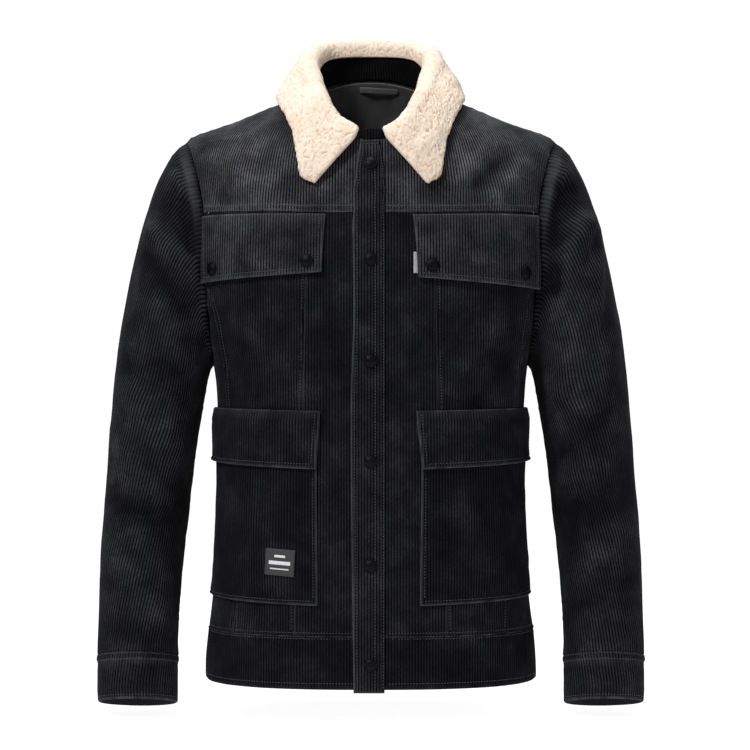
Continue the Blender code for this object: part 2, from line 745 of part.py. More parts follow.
def grid_spot(grid, x, z):
    """Where a grid on the front has a point at x and z: the share and cell of it, the point, the
    ways down the grid and along it for a whole share and cell, and the way out."""
    share, cell, step = 0.5, (len(grid[0]) - 1) / 2, 0.01
    for _ in range(12):
        here = grid_point(grid, share, cell)
        down = (grid_point(grid, share + step, cell) - here) / step
        along = (grid_point(grid, share, cell + step) - here) / step
        miss_x, miss_z = x - here.x, z - here.z
        spin = along.x * down.z - along.z * down.x
        cell += (miss_x * down.z - miss_z * down.x) / spin
        share += (along.x * miss_z - along.z * miss_x) / spin
        share, cell = min(max(share, 0.0), 0.98), min(max(cell, 0.0), len(grid[0]) - 1.02)
    out = down.cross(along).normalized()
    if out.y > 0:
        out.negate()
    return share, cell, grid_point(grid, share, cell), down, along, out


def build_patch(pocket):
    """Bare patch on the right pocket, made from the pocket's outer points."""
    share, cell, _, down, along, outward_way = grid_spot(pocket, PATCH_X, PATCH_Z)
    width, height = PATCH_SIZE
    grids = []
    for out in (EDGE_STAND_OFF + PATCH_THICK, EDGE_STAND_OFF):
        grid = []
        for down_share in PATCH_SHARES:
            line = []
            for along_share in PATCH_SHARES:
                x, z = along_share * width, down_share * height
                right = x * math.cos(PATCH_TILT) - z * math.sin(PATCH_TILT)
                below = x * math.sin(PATCH_TILT) + z * math.cos(PATCH_TILT)
                place = share + below / down.length
                line.append(grid_point(pocket, place, cell - right / along.length) + outward_way * out)
            grid.append(line)
        grids.append(grid)
    wall("patch", grids[0], grids[1], PATCH)


def build_snap(name, seat, normal):
    """Domed snap cap, turned about the normal of what it sits on."""
    turn = UP.rotation_difference(normal)
    points = []
    for radius, height in SNAP_PROFILE:
        for step in range(SNAP_SIDES):
            angle = math.tau * step / SNAP_SIDES
            points.append(seat + turn @ Vector((radius * math.cos(angle), radius * math.sin(angle), height)))
    faces = [tuple(range(SNAP_SIDES))]
    faces.append(tuple(range((len(SNAP_PROFILE) - 1) * SNAP_SIDES, len(SNAP_PROFILE) * SNAP_SIDES)))
    for ring in range(len(SNAP_PROFILE) - 1):
        for step in range(SNAP_SIDES):
            a, b = ring * SNAP_SIDES + step, ring * SNAP_SIDES + (step + 1) % SNAP_SIDES
            faces.append((a, b, b + SNAP_SIDES, a + SNAP_SIDES))
    solid(name, points, faces, METAL)


def build_front_pieces():
    for side, name in SIDE_NAMES.items():
        flap = on_front(
            f"chest_flap_{name}", side, CHEST_FLAPS[side], lambda level: flap_angles(level, side),
            FLAP, CHEST_MARGIN,
        )
        for place, x, z in FLAP_SNAPS[side]:
            _, _, seat, _, _, out = grid_spot(flap, side * x, z)
            build_snap(f"flap_snap_{name}_{place}", seat + out * SNAP_SEAT, out)
        on_front(f"lower_flap_{name}", side, LOWER_FLAP, lambda level: pocket_angles(level, side), FLAP)
        pocket = on_front(
            f"lower_pocket_{name}", side, LOWER_POCKET, lambda level: pocket_angles(level, side),
            FLAP, puffed=True,
        )
        if side < 0:
            build_patch(pocket)
    tab_rows = [Row(level) for level in TAB_LEVELS]
    panel("side_tab", tab_rows, lambda row: [angle_at_x(x, row.level) for x in TAB_X], TAB_LAYERS,
          TAPE, (False, False))
    out = EDGE_STAND_OFF + STRIP + SNAP_SEAT
    for number, level in enumerate(STRIP_SNAP_LEVELS, 1):
        angle = angle_at_x(STRIP_SNAP_X, level)
        build_snap(f"front_snap_{number}", body_at(angle, level, out), body_frame(angle, level)[1])


# Sleeves and cuffs

def sleeve_wall(name, side, points, places):
    """Wall of a sleeve over some points of its ring, or all of them, and a run of places."""
    whole = len(points) == RING
    grids = []
    for out in BODY_WALL:
        grid = []
        for place in places:
            line = []
            for column, point in enumerate(points):
                aside = 0.0
                if not whole and column == 0:
                    aside = GAP / 2
                if not whole and column == len(points) - 1:
                    aside = -GAP / 2
                if place == 0:
                    line.append(seam_point(point, side, out, True, aside))
                    continue
                along = 0.0
                if place == places[0]:
                    along = GAP / 2
                if place == places[-1]:
                    along = -GAP / 2
                line.append(sleeve_at(side, point, place, out, aside, along))
            grid.append(line)
        grids.append(grid)
    wall(name, grids[0], grids[1], CORDUROY, ring=whole)


def build_sleeves():
    first, last = UNDER_SLEEVE
    tube = list(range(CUFF_SEAM_PLACE + 1))
    for side, name in SIDE_NAMES.items():
        sleeve_wall(f"under_sleeve_{name}", side, list(range(first, last + 1)), tube)
        sleeve_wall(f"top_sleeve_{name}", side, list(range(last, first + RING + 1)), tube)
        sleeve_wall(f"cuff_{name}", side, list(range(RING)), list(range(CUFF_SEAM_PLACE, len(SLEEVE))))


# Collar, its stand, and what shows inside the neck

def collar_line(side, place):
    """Middle line of the fleece across one place of the collar, from its inner edge over the roll
    to its outer edge, and the way up at its inner edge."""
    edge_angle, edge_level, x, y, z, radius, inside, start = COLLAR_TABLE.at(place)
    middle = Vector((x, y, z))
    out = Vector((1.2 * x, y + NECK_Y, 0)).normalized()

    def on_roll(angle):
        return middle + (UP * math.sin(angle) - out * math.cos(angle)) * radius

    start = math.radians(start)
    tangent = out * math.sin(start) + UP * math.cos(start)
    line = [on_roll(start) - tangent * max(inside, 1.5)]
    line += [on_roll(start + (math.pi - start) * step / ROLL_STEPS) for step in range(ROLL_STEPS + 1)]
    edge = body_at(math.radians(edge_angle), edge_level, PILE / 2 + COLLAR_STAND_OFF)
    for step in range(1, FALL_STEPS + 1):
        share = step / FALL_STEPS
        bow = out * (FALL_CROWN * math.sin(math.pi * share))
        line.append(line[ROLL_STEPS + 1].lerp(edge, share) + bow)
    line = [Vector((point.x * side, point.y, point.z)) for point in line]
    return line, Vector((tangent.x * side, tangent.y, tangent.z))


def collar_places():
    """The two sides' places along the collar, from the right front end round to the left one."""
    last = len(COLLAR) - 1
    half = [last * step / COLLAR_STEPS for step in range(COLLAR_STEPS + 1)]
    return [(-1, place) for place in half] + [(1, place) for place in half[-2::-1]]


def build_collar():
    lines = [collar_line(side, place)[0] for side, place in collar_places()]
    count = len(lines[0])
    outer, inner = [[] for _ in range(count)], [[] for _ in range(count)]
    for column, line in enumerate(lines):
        before, after = lines[max(column - 1, 0)], lines[min(column + 1, len(lines) - 1)]
        for row, point in enumerate(line):
            along = after[row] - before[row]
            across = line[min(row + 1, count - 1)] - line[max(row - 1, 0)]
            normal = along.cross(across).normalized()
            half = PILE / 2 * (EDGE_ROUNDING if row == count - 1 else 1.0)
            outer[row].append(point + normal * half)
            inner[row].append(point - normal * half)
    wall("collar", outer, inner, FLEECE)
    return outer[0], inner[0]


def build_stand(neck_side, far_side):
    """The band between neck seam and fleece. It starts at the centre front, on the wearer's right,
    and runs over the left side and the back to the right front. neck_side and far_side are the
    points of the fleece's lower edge, towards the neck and away from it."""
    stand_table = Table([(float(i), math.radians(angle)) for i, angle in enumerate(STAND_ANGLES)])
    grids = []
    for layer in (1, -1):
        low, high = [], []
        for x in STAND_FRONT_X:
            foot = body_point(angle_at_x(x, NECK_EDGE), NECK_EDGE)
            y, z = STAND_FRONT_TOP
            low.append(foot + Vector((0, STAND / 2 * (1 - layer), STAND_GAP)))
            high.append(Vector((x, y - STAND / 2 * layer, z)))
        for column, (side, place) in reversed(list(enumerate(collar_places()))):
            foot = body_point(side * stand_table.at(place)[0], NECK_EDGE)
            out = Vector((1.2 * foot.x, foot.y + NECK_Y, 0)).normalized()
            _, tangent = collar_line(side, place)
            share = 0.5 + layer * STAND / 2 / PILE
            low.append(foot + UP * STAND_GAP - out * (STAND / 2 * (1 - layer)))
            high.append(neck_side[column].lerp(far_side[column], share) - tangent * STAND_GAP)
        grids.append([low, high])
    wall("collar_stand", grids[0], grids[1], CORDUROY)


def build_neck_inside():
    rows = ARMHOLE_ROWS[YOKE_PLACE:] + UPPER_ROWS
    top = -(CLOTH + GAP)
    panel("back_lining", rows, lambda row: back_angles(row)[LINING_TRIM:-LINING_TRIM],
          (top, top - LINING), SATIN, (False, False))
    under = top - LINING - LOOP_STAND_OFF
    grids = []
    for layer in (0.0, -LOOP_THICK):
        grid = []
        for level in LOOP_LEVELS:
            line = []
            for step in range(LOOP_CELLS + 1):
                share = step / LOOP_CELLS
                x = LOOP_X[1] + (LOOP_X[0] - LOOP_X[1]) * share
                bow = LOOP_BOW * math.sin(math.pi * share)
                angle = math.pi - angle_at_x(x, level)
                line.append(body_at(angle, level, under + layer - bow))
            grid.append(line)
        grids.append(grid)
    wall("hanger_loop", grids[0], grids[1], SATIN)


def reset_scene():
    for old in list(bpy.data.objects):
        bpy.data.objects.remove(old, do_unlink=True)


def main():
    reset_scene()
    build_body()
    build_strip()
    build_sleeves()
    build_front_pieces()
    build_stand(*build_collar())
    build_neck_inside()


main()
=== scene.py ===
"""Looks of a snap-front corduroy jacket with a fleece collar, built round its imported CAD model.

Every cut piece of cloth gets a fine shell on its solid's own form: the wales of the corduroy are
raised on it one by one, with rolled edges, sewing, puckers and creases. Tables are in millimetres.
"""

import math

import bpy
import numpy as np
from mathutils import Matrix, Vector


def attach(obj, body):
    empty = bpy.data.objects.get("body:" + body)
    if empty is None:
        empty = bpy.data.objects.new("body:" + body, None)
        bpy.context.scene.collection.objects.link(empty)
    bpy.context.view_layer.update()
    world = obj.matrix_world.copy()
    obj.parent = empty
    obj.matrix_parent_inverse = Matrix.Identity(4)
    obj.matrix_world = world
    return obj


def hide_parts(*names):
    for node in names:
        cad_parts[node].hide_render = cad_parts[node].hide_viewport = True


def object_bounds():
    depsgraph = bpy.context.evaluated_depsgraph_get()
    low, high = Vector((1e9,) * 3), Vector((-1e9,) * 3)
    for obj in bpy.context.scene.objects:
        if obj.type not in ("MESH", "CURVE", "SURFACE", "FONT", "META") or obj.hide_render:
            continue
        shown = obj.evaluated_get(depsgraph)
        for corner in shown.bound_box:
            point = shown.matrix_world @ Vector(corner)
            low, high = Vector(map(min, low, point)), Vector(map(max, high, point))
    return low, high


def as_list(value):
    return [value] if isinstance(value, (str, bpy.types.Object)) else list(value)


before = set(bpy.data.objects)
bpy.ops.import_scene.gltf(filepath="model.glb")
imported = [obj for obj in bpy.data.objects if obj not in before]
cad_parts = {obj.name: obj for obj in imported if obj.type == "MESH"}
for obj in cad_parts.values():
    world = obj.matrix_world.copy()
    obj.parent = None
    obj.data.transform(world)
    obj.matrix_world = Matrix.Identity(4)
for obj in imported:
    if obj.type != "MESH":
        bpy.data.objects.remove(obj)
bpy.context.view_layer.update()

MM = 0.001
GAP = 0.3             # between two pieces at a seam
PITCH = 3.2           # from wale to wale
PER_WALE = 3          # columns of points to a wale: the groove, and two on its rounded top
STEP = PITCH / PER_WALE
WALE = 0.75           # height of a wale above its groove
CLOTH = 2.4           # from the tops of the wales to the back of the cloth
END_CREST = 0.7       # height of a row's two end columns, as a share of a wale
ROW = 12.0            # between two rows of points, where nothing asks for more
EDGE_ROLL, EDGE_DROP = 1.5, 0.8
HALF_TURN, WHOLE_TURN = math.pi, math.tau
QUARTER = math.pi / 2
UP = np.array([0.0, 0.0, 1.0])

# The tables of the CAD source: sections of the body, its armhole, its seams and the sleeve.
SECTIONS = [
    # level, side_z, back_z, half_width, front, back, squareness
    (-650.0, -650, -650, 186.0, 134, 121, 2.50),
    (-625.0, -625, -625, 185.2, 134, 120, 2.50),
    (-592.0, -592, -592, 182.0, 133, 118, 2.50),
    (-560.0, -560, -560, 178.0, 132, 116, 2.50),
    (-490.0, -490, -490, 172.6, 129, 111, 2.50),
    (-430.0, -430, -430, 170.2, 127, 108, 2.50),
    (-362.0, -362, -362, 171.6, 127, 110, 2.50),
    (-325.0, -325, -325, 173.4, 128, 114, 2.50),
    (-300.0, -300, -300, 176.5, 129, 117, 2.50),
    (-249.0, -249, -249, 190.0, 131, 121, 2.48),
    (-214.0, -214, -214, 197.0, 131, 123, 2.46),
    (-175.0, -175, -175, 201.0, 129, 123, 2.44),
    (-135.0, -135, -135, 202.5, 125, 121, 2.35),
    (-105.0, -45, -76, 212.0, 119, 112, 1.90),
    (-90.0, -34, -44, 174.0, 114, 103, 1.90),
    (-72.0, -15, -6, 128.0, 108, 86, 2.00),
    (-55.0, 2, 29, 85.0, 101, 68, 2.10),
]
HEM, BAND_TOP, UNDERARM, YOKE_SEAM, SHOULDER_TIP, NECK_EDGE = -650.0, -592.0, -300.0, -135.0, -105.0, -55.0
BEND, SIDE_BEND, BEND_BOTTOM, BEND_FADE = 22.0, 10.0, -165.0, 30.0
BEND_WEIGHTS = [(-1.0, 1 / 9), (-0.5, 2 / 9), (0.0, 3 / 9), (0.5, 2 / 9), (1.0, 1 / 9)]
ARMHOLE = [
    # level, front_y, back_y
    (-300.0, 0, 0),
    (-294.0, 24, 22),
    (-276.0, 43, 40),
    (-249.0, 57, 53),
    (-214.0, 64, 60),
    (-175.0, 66, 62),
    (-135.0, 62, 58),
    (-122.0, 52, 48),
    (-112.7, 38, 35),
    (-106.9, 20, 18),
    (-105.0, 0, 0),
]
RING = 2 * (len(ARMHOLE) - 1)
SIDE_SEAM_LEVEL = -214.0
FRONT_LINES = [
    # level, right_edge, left_edge, front_seam, side_seam
    (-650.0, 57, 53, 84.0, 151.0),
    (-560.0, 57, 53, 83.0, 151.5),
    (-410.0, 58, 54.5, 77.0, 155.0),
    (-350.0, 54, 49.0, 74.5, 159.0),
    (-300.0, 53, 51.0, 73.0, 164.5),
    (-205.0, 52.5, 50.5, 71.0, 180.0),
    (-135.0, 49, 46.0, 69.0, 186.0),
]
RIGHT_EDGE, LEFT_EDGE, FRONT_SEAM, SIDE_SEAM = range(4)
POCKET_LINE = {-1: RIGHT_EDGE, 1: LEFT_EDGE}
FRONT_EDGE = 10.0
STRIP_LINES = [
    # level, free_edge, sewn_edge
    (-650.0, -18.5, 15.0),
    (-350.0, -21.5, 15.5),
    (-240.0, -18.5, 15.5),
    (-138.0, -19.5, 15.5),
    (-94.0, -16.0, 14.5),
    (-55.0, -11.0, 10.0),
]
SLEEVE = [
    # outer_x, outer_z, inner_x, inner_z, middle_y, front, back, pitch
    (207.5, -50, 176.5, -300, 0, 66, 62, 0),
    (221.0, -60, 178.5, -302, 0, 69, 66, 0),
    (234.5, -81, 180.5, -305, 0, 72, 69, 0),
    (245.5, -106, 182.0, -309, 0, 74, 72, 0),
    (255.0, -136, 183.5, -314, 0, 76, 75, 0),
    (264.0, -170, 185.0, -320, 1, 77, 76, 0),
    (272.5, -208, 186.5, -328, 3, 77, 76, 1),
    (280.5, -250, 188.5, -338, 5, 76, 75, 2),
    (287.2, -292, 190.8, -351, 8, 74, 73, 3),
    (291.8, -333, 194.6, -372, 10, 72, 71, 4),
    (295.2, -374, 198.8, -398, 11, 70, 69, 5),
    (298.3, -414, 202.2, -429, 9, 67, 66, 6),
    (301.0, -452, 205.2, -461, 5, 64, 63, 7),
    (303.2, -490, 208.8, -495, 0, 61, 59, 8),
    (304.6, -528, 212.4, -530, -8, 57, 55, 9),
    (305.2, -564, 214.6, -565, -16, 53, 51, 9.5),
    (305.3, -595, 215.5, -595, -24, 49, 47.5, 10),
    (305.2, -624, 215.4, -624, -31, 46, 44.5, 10),
    (304.8, -650, 214.8, -650, -38, 44.5, 43, 10),
    (303.6, -674.5, 214.4, -674.5, -45, 43.5, 42, 10),
]
CUFF_SEAM_PLACE, CUFF_END, SETTLE_PLACES = 17.0, 19.0, 6
UNDER_SLEEVE = (10, 15)


# Curves through tables

def slopes(places, values):
    """Slopes of a smooth curve through a table that never overshoots its rows."""
    steps = np.diff(places)
    rises = np.diff(values) / steps
    result = [rises[0]]
    for before, after, left, right in zip(rises, rises[1:], steps, steps[1:]):
        if before * after <= 0:
            result.append(0.0)
            continue
        weight_before, weight_after = 2 * right + left, right + 2 * left
        result.append((weight_before + weight_after) / (weight_before / before + weight_after / after))
    result.append(rises[-1])
    return result


class Table:
    """Rows of numbers, read at arrays of places between them on smooth curves."""

    def __init__(self, rows, by_index=False):
        rows = np.array(rows, float)
        self.places = np.arange(len(rows), dtype=float) if by_index else rows[:, 0]
        self.values = rows if by_index else rows[:, 1:]
        self.slopes = np.array([slopes(self.places, column) for column in self.values.T]).T

    def at(self, place):
        place = np.clip(np.asarray(place, float), self.places[0], self.places[-1])
        i = np.clip(np.searchsorted(self.places, place, side="right") - 1, 0, len(self.places) - 2)
        step = (self.places[i + 1] - self.places[i])[..., None]
        t = (place - self.places[i])[..., None] / step
        first, last = self.values[i], self.values[i + 1]
        ease = t * t * (3 - 2 * t)
        out, back = t * (1 - t) ** 2 * step, t * t * (1 - t) * step
        return first + (last - first) * ease + self.slopes[i] * out - self.slopes[i + 1] * back


SECTION_TABLE = Table(SECTIONS)
LINE_TABLE = Table(FRONT_LINES)
STRIP_TABLE = Table(STRIP_LINES)
SLEEVE_TABLE = Table(SLEEVE, by_index=True)
ARMHOLE_TABLE = Table(ARMHOLE, by_index=True)


def unit(vectors):
    return vectors / np.maximum(np.linalg.norm(vectors, axis=-1, keepdims=True), 1e-9)


def smooth(share):
    share = np.clip(share, 0.0, 1.0)
    return share * share * (3 - 2 * share)


def runs_along(points, axis=0):
    """Distances along rows of points from the first one."""
    steps = np.linalg.norm(np.diff(points, axis=axis), axis=-1)
    return np.cumsum(np.insert(steps, 0, 0.0, axis=axis), axis=axis)


def points_at(at, runs, points):
    """Points at distances along a line whose points lie at the runs."""
    return np.column_stack([np.interp(at, runs, column) for column in points.T])


# The body's surface

def section_point(angle, level):
    side_z, back_z, half_width, front, back, squareness = np.moveaxis(SECTION_TABLE.at(level), -1, 0)
    sine, cosine = np.sin(angle), np.cos(angle)
    depth = np.where(cosine > 0, front, back)
    end_z = np.where(cosine > 0, level, back_z)
    power = 2 / squareness
    return np.stack([
        half_width * np.sign(sine) * np.abs(sine) ** power,
        -depth * np.sign(cosine) * np.abs(cosine) ** power,
        side_z + (end_z - side_z) * cosine * cosine,
    ], axis=-1)


def body_point(angle, level):
    """Point on the outside of the body, its bend between chest and shoulder rounded."""
    angle, level = np.broadcast_arrays(np.asarray(angle, float), np.asarray(level, float))
    reach = SIDE_BEND + (BEND - SIDE_BEND) * np.cos(angle) ** 2
    reach = np.minimum(reach * np.minimum(1.0, (level - BEND_BOTTOM) / BEND_FADE), NECK_EDGE - level)
    reach = np.maximum(reach, 0.0)
    return sum(section_point(angle, level + reach * share) * weight for share, weight in BEND_WEIGHTS)


def body_frame(angle, level):
    """Unit vectors at body points: round the body, and out of it."""
    turn, lift = 0.02, 1.5
    level = np.maximum(level, HEM)
    low, high = np.maximum(level - lift, HEM), np.minimum(level + lift, NECK_EDGE)
    around = body_point(angle + turn, level) - body_point(angle - turn, level)
    upward = body_point(angle, high) - body_point(angle, low)
    return unit(around), unit(np.cross(around, upward))


def angle_at_x(x, level):
    """Angle on the front where the section at this level is x from the centre."""
    row = SECTION_TABLE.at(level)
    share = np.minimum(np.abs(x) / row[..., 2], 1.0)
    return np.sign(x) * np.arcsin(share ** (row[..., 5] / 2))


def front_line(column, level, side):
    return side * angle_at_x(LINE_TABLE.at(level)[..., column], level)


ARMHOLE_PLACES = np.linspace(0, len(ARMHOLE) - 1, 401)
ARMHOLE_LEVELS = ARMHOLE_TABLE.at(ARMHOLE_PLACES)[:, 0]


def ring_angle(place, on_back):
    level, front_y, back_y = np.moveaxis(ARMHOLE_TABLE.at(place), -1, 0)
    front, back, squareness = np.moveaxis(SECTION_TABLE.at(level), -1, 0)[3:]
    on_front = np.arccos(np.clip(front_y / front, 0, 1) ** (squareness / 2))
    behind = HALF_TURN - np.arccos(np.clip(back_y / back, 0, 1) ** (squareness / 2))
    return np.where(on_back, behind, on_front)


def armhole_end(level, on_back=False):
    """Angle at which the front or the back ends at a level: at the armhole, or at the side."""
    if not UNDERARM < level < SHOULDER_TIP:
        return QUARTER
    return float(ring_angle(np.interp(level, ARMHOLE_LEVELS, ARMHOLE_PLACES), on_back))


# The sleeve's surface, on the wearer's left

def oval(section, turn):
    outer_x, outer_z, inner_x, inner_z, middle_y, front, back, pitch = np.moveaxis(section, -1, 0)
    cosine, sine = np.cos(turn), np.sin(turn)
    return np.stack([
        (outer_x + inner_x) / 2 + (outer_x - inner_x) / 2 * cosine,
        middle_y - np.where(sine > 0, front, back) * sine,
        (outer_z + inner_z) / 2 + (outer_z - inner_z) / 2 * cosine + pitch * sine,
    ], axis=-1)


def sleeve_point(point, place):
    """Point on the outside of the sleeve. The ring's point runs from the shoulder over the front."""
    point, place = np.broadcast_arrays(np.asarray(point, float), np.asarray(place, float))
    turn = WHOLE_TURN * point / RING
    around = np.mod(point, RING)
    row = np.abs(around - RING / 2)
    hole = body_point(ring_angle(row, around > RING / 2), ARMHOLE_TABLE.at(row)[..., 0])
    left_over = np.maximum(0.0, 1 - place / SETTLE_PLACES) ** 2
    start = np.broadcast_to(np.array(SLEEVE[0], float), (*turn.shape, len(SLEEVE[0])))
    return oval(SLEEVE_TABLE.at(place), turn) + (hole - oval(start, turn)) * left_over[..., None]


def sleeve_normal(point, place):
    before, after = np.maximum(place - 0.25, 0.0), np.minimum(place + 0.25, len(SLEEVE) - 1.0)
    around = sleeve_point(point + 0.5, place) - sleeve_point(point - 0.5, place)
    along = sleeve_point(point, after) - sleeve_point(point, before)
    return unit(np.cross(around, along))


# The body measured along its sections: s runs round the body from the centre front, or from the
# centre back, in millimetres along the cloth, positive where the angle grows.

MAP_LEVELS = np.arange(HEM - 6.0, NECK_EDGE + 2.0, 2.0)
MAP_ANGLES = np.linspace(0.0, QUARTER, 361)
MAP_LENGTHS = np.arange(0.0, 420.0, 1.0)


def measured(on_back):
    """Lengths at every level and angle of the maps, and the angles at every level and length."""
    level, angle = np.meshgrid(np.minimum(MAP_LEVELS, NECK_EDGE), MAP_ANGLES, indexing="ij")
    lengths = runs_along(body_point(HALF_TURN + angle if on_back else angle, level), axis=1)
    angles = []
    for line in lengths:
        found = np.interp(MAP_LENGTHS, line, MAP_ANGLES)
        past = np.maximum(0.0, MAP_LENGTHS - line[-1])
        angles.append(found + past * (MAP_ANGLES[-1] - MAP_ANGLES[-9]) / (line[-1] - line[-9]))
    return lengths, np.array(angles)


MAPS = {on_back: measured(on_back) for on_back in (False, True)}


def read_map(grid, level, across):
    """Value of a map at levels and at places counted in its columns."""
    row = np.clip((level - MAP_LEVELS[0]) / (MAP_LEVELS[1] - MAP_LEVELS[0]), 0, len(grid) - 1.001)
    across = np.clip(across, 0, grid.shape[1] - 1.001)
    i, j = row.astype(int), across.astype(int)
    down, along = row - i, across - j
    upper = grid[i, j] * (1 - along) + grid[i, j + 1] * along
    lower = grid[i + 1, j] * (1 - along) + grid[i + 1, j + 1] * along
    return upper * (1 - down) + lower * down


def length_at(angle, level, on_back=False):
    """Distance along the cloth from the centre line to an angle."""
    turned = np.asarray(angle - HALF_TURN if on_back else angle, float)
    turned, level = np.broadcast_arrays(turned, np.asarray(level, float))
    return np.sign(turned) * read_map(MAPS[on_back][0], level, np.abs(turned) / MAP_ANGLES[1])


def body_spot(s, level, on_back=False, out=0.0):
    """Points of the body at lengths from the centre line, and the ways out of it."""
    s, level = np.broadcast_arrays(np.asarray(s, float), np.asarray(level, float))
    turned = np.sign(s) * read_map(MAPS[on_back][1], level, np.abs(s))
    angle = HALF_TURN + turned if on_back else turned
    _, normal = body_frame(angle, level)
    return body_point(angle, level) + normal * np.asarray(out)[..., None], normal

# Uneven cloth

def waves(points, size, seed):
    """Soft uneven heights between about -1 and 1, of a given size, the same at each run."""
    dice = np.random.default_rng(seed)
    total = np.zeros(points.shape[:-1])
    for _ in range(7):
        way = unit(dice.normal(size=3))
        pace, start = dice.uniform(0.6, 1.7), dice.uniform(0, WHOLE_TURN)
        total += np.sin(points @ way * (WHOLE_TURN / size) * pace + start)
    return total / 3.2


# Creases on the body, on the sleeves and on the lower pockets: those that face the
# front, then those that face the back. The first sleeve rows follow the solids' own folds. A row has
# from_x, from_z, to_x, to_z, half_width and height.
CREASES = (
    [
        (-132, -262, -60, -330, 9, 1.6), (-150, -300, -96, -372, 11, -1.8), (138, -258, 84, -322, 10, 1.6),
        (152, -292, 110, -350, 8, -1.5), (-168, -246, -150, -330, 8, -1.8), (170, -240, 158, -342, 9, 1.5),
        (-46, -226, -30, -330, 10, -1.1), (44, -240, 34, -320, 9, 1.0), (-60, -330, -130, -342, 7, 1.2),
        (118, -331, 150, -345, 6, 1.1), (-120, -440, -84, -500, 13, 1.3), (118, -430, 150, -520, 12, -1.2),
        (84, -470, 112, -548, 10, 1.2), (-150, -560, -96, -580, 8, -0.9), (60, -580, 128, -600, 7, 0.9),
        (-150, -590, -60, -625, 9, 0.8), (-150, -82, -104, -130, 14, 2.4),
        (-174, -88, -162, -120, 9, -2.4), (-90, -104, -62, -132, 12, -1.6), (124, -64, 92, -104, 9, 3.0),
        (152, -68, 118, -104, 8, -3.0), (168, -80, 136, -118, 9, 3.0), (60, -112, 104, -128, 10, -1.4),
    ],
    [
        (-150, -250, -40, -330, 12, 2.2), (146, -236, 56, -318, 13, -2.0), (-60, -200, 40, -214, 12, 1.4),
        (-110, -396, 20, -430, 15, 1.8), (30, -470, 130, -440, 13, -1.6), (-40, -540, 90, -560, 11, 1.2),
        (-140, -150, -90, -200, 10, 1.8), (132, -146, 98, -188, 9, 1.5), (0, -100, 6, -240, 12, -0.9),
    ],
)
SLEEVE_CREASES = (
    [
        (-242, -154, -190, -196, 11, 4.6), (-228, -118, -192, -160, 13, -3.6),
        (-218, -86, -200, -116, 5, 3.4), (-205, -120, -197, -172, 8, -4.0),
        (-262, -330, -212, -395, 20, 4.0), (222, -110, 216, -158, 10, -3.6),
        (238, -146, 206, -180, 11, 4.4), (218, -84, 206, -114, 6, 3.0), (211, -104, 201, -214, 8, -5.0),
        (238, -150, 214, -330, 20, 4.5), (290, -420, 226, -470, 18, -3.5),
        (-252, -176, -204, -236, 9, -2.2), (-240, -236, -200, -300, 11, 2.4),
        (-276, -300, -226, -352, 12, -2.0), (-292, -372, -232, -452, 11, 2.2),
        (-286, -450, -226, -476, 9, -2.4), (-296, -500, -236, -560, 12, 1.8),
        (-286, -590, -226, -606, 8, -1.6), (-240, -520, -222, -600, 10, 1.2),
        (252, -86, 258, -140, 6, 2.2), (256, -150, 250, -250, 5, 2.4), (246, -160, 224, -236, 9, -2.6),
        (282, -250, 232, -340, 12, 1.8), (262, -356, 216, -396, 9, -2.2), (270, -400, 226, -420, 8, 1.8),
        (296, -470, 240, -520, 12, 2.0), (286, -540, 228, -566, 10, -1.8), (292, -600, 240, -618, 8, 1.4),
    ],
    [
        (-246, -135, -190, -195, 17, 5.0), (246, -140, 190, -190, 17, 5.0),
        (-286, -385, -220, -430, 18, -4.5), (286, -390, 220, -425, 18, -4.5),
        (-268, -210, -204, -262, 11, 2.4), (-296, -330, -226, -370, 10, 2.2),
        (-298, -440, -226, -476, 12, 2.2), (-292, -540, -228, -562, 10, -1.8),
        (270, -216, 206, -256, 10, -2.2), (294, -330, 224, -362, 11, 2.4), (298, -450, 230, -486, 11, 2.0),
        (292, -556, 230, -590, 9, 1.6),
    ],
)
POCKET_CREASES = (
    [
        (-150, -440, -96, -520, 14, 1.2), (-84, -450, -70, -530, 9, -0.9), (-132, -530, -90, -548, 7, 0.8),
        (96, -440, 132, -536, 13, 1.2), (146, -430, 152, -500, 9, -1.0), (70, -520, 110, -548, 7, 0.9),
    ],
    [],
)

DEEP = 1.35                            # times the heights above
FOLD_LIGHT, FOLD_LIGHT_REACH = (0.16, 0.38), 3.5     # painted highlight on crease ridges and painted shade in their troughs, and the crease height over which it grows


def crease_height(points, normals, creases):
    """How far creases lift or sink points whose normals are known."""
    height = np.zeros(points.shape[:-1])
    for way, table in zip((-1, 1), creases):
        shown = np.clip(2 * way * normals[..., 1], 0, 1)
        for from_x, from_z, to_x, to_z, half_width, lift in table:
            run_x, run_z = to_x - from_x, to_z - from_z
            length = math.hypot(run_x, run_z)
            off_x, off_z = points[..., 0] - from_x, points[..., 2] - from_z
            along = (off_x * run_x + off_z * run_z) / length
            across = (off_x * run_z - off_z * run_x) / length
            beyond = np.maximum(0.0, np.maximum(-along, along - length))
            off = (across * across + beyond * beyond) / half_width ** 2
            height += DEEP * lift * np.exp(-off) * shown
    return height


def uneven(points, lift):
    """How far a cut piece lies off its solid's form, before its creases, wales and seams."""
    return lift + 0.35 * waves(points, 46.0, 3) + 0.12 * waves(points, 13.0, 5)


# Meshes

def link(name, data):
    made = bpy.data.objects.new(name, data)
    bpy.context.scene.collection.objects.link(made)
    return made


